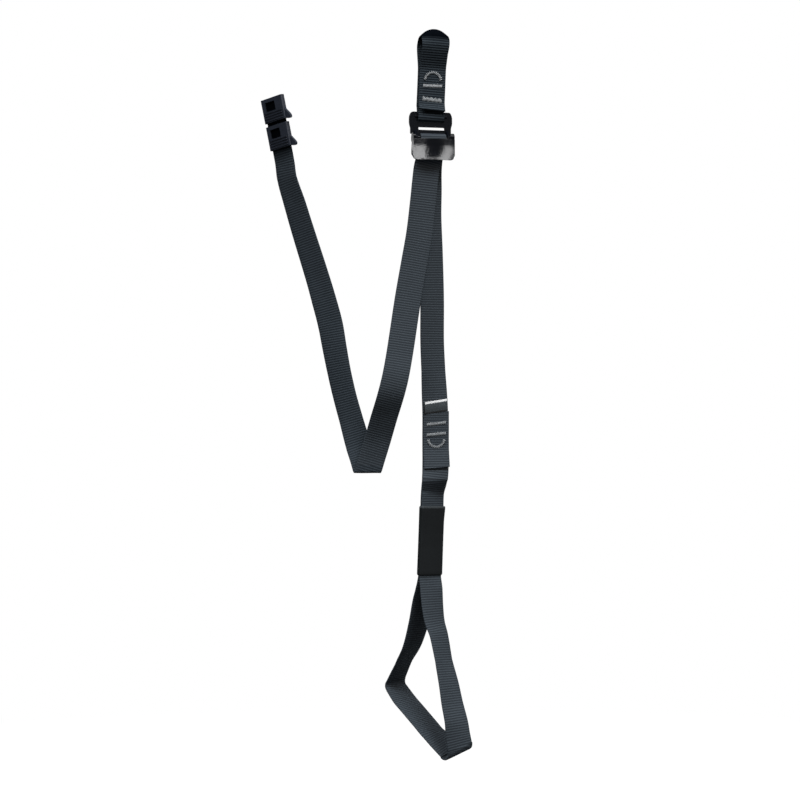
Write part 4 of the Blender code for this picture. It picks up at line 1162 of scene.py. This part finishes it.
def steel_paint(name, colour, rubbed, rough, wear, mirror, dish_top=None):
    """Blackened steel: rubbed where the edge mark says, with fine grain, scuffs and a dish."""
    paint = new_paint(name)
    body = paint.body()
    edge = paint.node("ShaderNodeAttribute", {"attribute_name": WEAR_MARK}, {}, "Fac")
    scuffs = paint.noise(body, 420.0, 4.0)
    grain = paint.noise(body, 3800.0, 2.0)
    share = paint.between(edge * 0.55 + scuffs, 0.72, 1.1) * wear
    bump = paint.bump(0.35, 0.02 * MM, grain)
    if dish_top is not None:
        high = paint.node("ShaderNodeSeparateXYZ", {}, {0: body}, "Z")
        low = (high * -1 - dish_top) + (scuffs - 0.5) * DISH_WAVE
        near = low.sums("MINIMUM", low.sums("MAXIMUM", low, 0.0), DISH_REACH)
        beyond = low.sums("MAXIMUM", low - DISH_REACH, 0.0)
        dish = near * near * (DISH_SLOPE / (2 * DISH_REACH)) + beyond * DISH_SLOPE
        bump = paint.bump(1.0, 1.0, dish, Normal=bump)
    paint.surface(base_color=paint.mixed(share, colour, rubbed),
                  roughness=scuffs * 0.16 + rough - 0.06, specular_ior_level=mirror, normal=bump)
    return paint.owner


BLACKED = (0.0015, 0.002, 0.0035, 1)
BARE_EDGE = (0.016, 0.018, 0.021, 1)
SATIN_STEEL = steel_paint("black_steel", BLACKED, BARE_EDGE, 0.5, 0.5, 0.008)
GLOSS_STEEL = steel_paint("gloss_black_steel", BLACKED, BARE_EDGE, 0.12, 0.3, 0.05, DISH_TOP)
print("steel finishes ready")

# %% [markdown]
# Set beside the photograph, some edges of the two steel pieces were a little out of place, so the
# copies are trimmed, in millimetres. A row says which corners of the frame move: two drops and
# two distances from the middle that they lie between. Then it says how far those on the left go
# right, those on the right go left, and all of them go down.

# %% Rounded copies of the solids
FRAME_MIDDLE = -3.604
FRAME_TRIMS = (
    (92, 102, 0, 15.075, 2.2, 0.6, 0),
    (80, 91.5, 13.95, 15.075, 0.7, 1.2, 0),
    (94.9, 96.1, 0, 15.075, 0, 0, 1.6),
    (103.3, 103.5, 0, 15.45, 0, 0, 1.9),
)
ARM_HALF_WIDTH = 22
ARM_FOOT = 116
ARM_TRIM = 2
WELD = 0.01 * MM
FLAT = 1 * DEG
SHARP_METAL = 38 * DEG


def trim_windows(bm):
    """Bring the walls of the frame's openings in, and its lip bar and lower bar down."""
    for vert in bm.verts:
        aside = vert.co.x / MM - FRAME_MIDDLE
        drop = -vert.co.z / MM
        for high, low, near, far, left, right, down in FRAME_TRIMS:
            if high < drop < low and near <= abs(aside) < far:
                vert.co.x += (left if aside < 0 else -right) * MM
                vert.co.z -= down * MM


def slim_arm(bm):
    """Thin the release plate's left arm from its outer side."""
    for vert in bm.verts:
        if vert.co.x / MM - FRAME_MIDDLE < -ARM_HALF_WIDTH and -vert.co.z / MM < ARM_FOOT:
            vert.co.x += ARM_TRIM * MM


def rounded_copy(node, radius, sharp=30, segments=3, change=None):
    """A copy of a solid's mesh with its sharp edges rounded and marked."""
    bm = bmesh.new()
    bm.from_mesh(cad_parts[node].data)
    if change:
        change(bm)
    bmesh.ops.remove_doubles(bm, verts=bm.verts, dist=WELD)
    bmesh.ops.dissolve_limit(bm, angle_limit=FLAT, verts=bm.verts, edges=bm.edges)
    edges = [e for e in bm.edges if e.is_manifold and e.calc_face_angle(0) > sharp * DEG]
    made = bmesh.ops.bevel(bm, geom=edges, offset=radius, segments=segments, profile=0.5,
                           affect="EDGES", clamp_overlap=True)
    worn = set(made["faces"])
    layer = bm.loops.layers.float.new(WEAR_MARK)
    for face in bm.faces:
        for loop in face.loops:
            loop[layer] = 1.0 if face in worn else 0.0
    bmesh.ops.recalc_face_normals(bm, faces=bm.faces)
    mesh = bpy.data.meshes.new(node + "_rounded")
    bm.to_mesh(mesh)
    bm.free()
    mesh.shade_smooth()
    mesh.set_sharp_from_angle(angle=SHARP_METAL)
    return mesh


def dress(node, radius, material, body_name, change=None):
    """A rounded copy in place of its solid, with its flat faces kept truly flat."""
    mesh = rounded_copy(node, radius, change=change)
    piece = add_piece(node + "_finished", mesh, material, body_name)
    flat = piece.modifiers.new("flat_faces", "WEIGHTED_NORMAL")
    flat.keep_sharp = True
    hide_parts(node)
    print(piece.name, len(piece.data.polygons), "faces")


dress("buckle_frame", 0.45 * MM, SATIN_STEEL, "strap", trim_windows)
dress("release_plate", 0.4 * MM, GLOSS_STEEL, "release", slim_arm)

# %% [markdown]
# ## Keepers
# The two keepers are moulded in black plastic, with a window that shows the strap and a few
# grip ribs. Moulded parts have small even radii and a faint sparkle from the mould's texture.

# %% Plastic keepers
PLASTIC_TONES = (0.010, 0.013, 0.020, 1), (0.028, 0.034, 0.050, 1)
plastic = new_paint("black_plastic")
body = plastic.body()
edge = plastic.node("ShaderNodeAttribute", {"attribute_name": WEAR_MARK}, {}, "Fac")
spark = plastic.noise(body, 2400.0, 2.0)
cloud = plastic.noise(body, 120.0)
tone = plastic.mixed(cloud * 0.5 + edge * 0.3, *PLASTIC_TONES)
plastic.surface(base_color=tone, roughness=cloud * 0.12 + 0.48, specular_ior_level=0.04,
                normal=plastic.bump(0.5, 0.03 * MM, spark))
for keeper in ("upper_keeper", "lower_keeper"):
    dress(keeper, 0.3 * MM, plastic.owner, "keeper_" + keeper.split("_")[0])
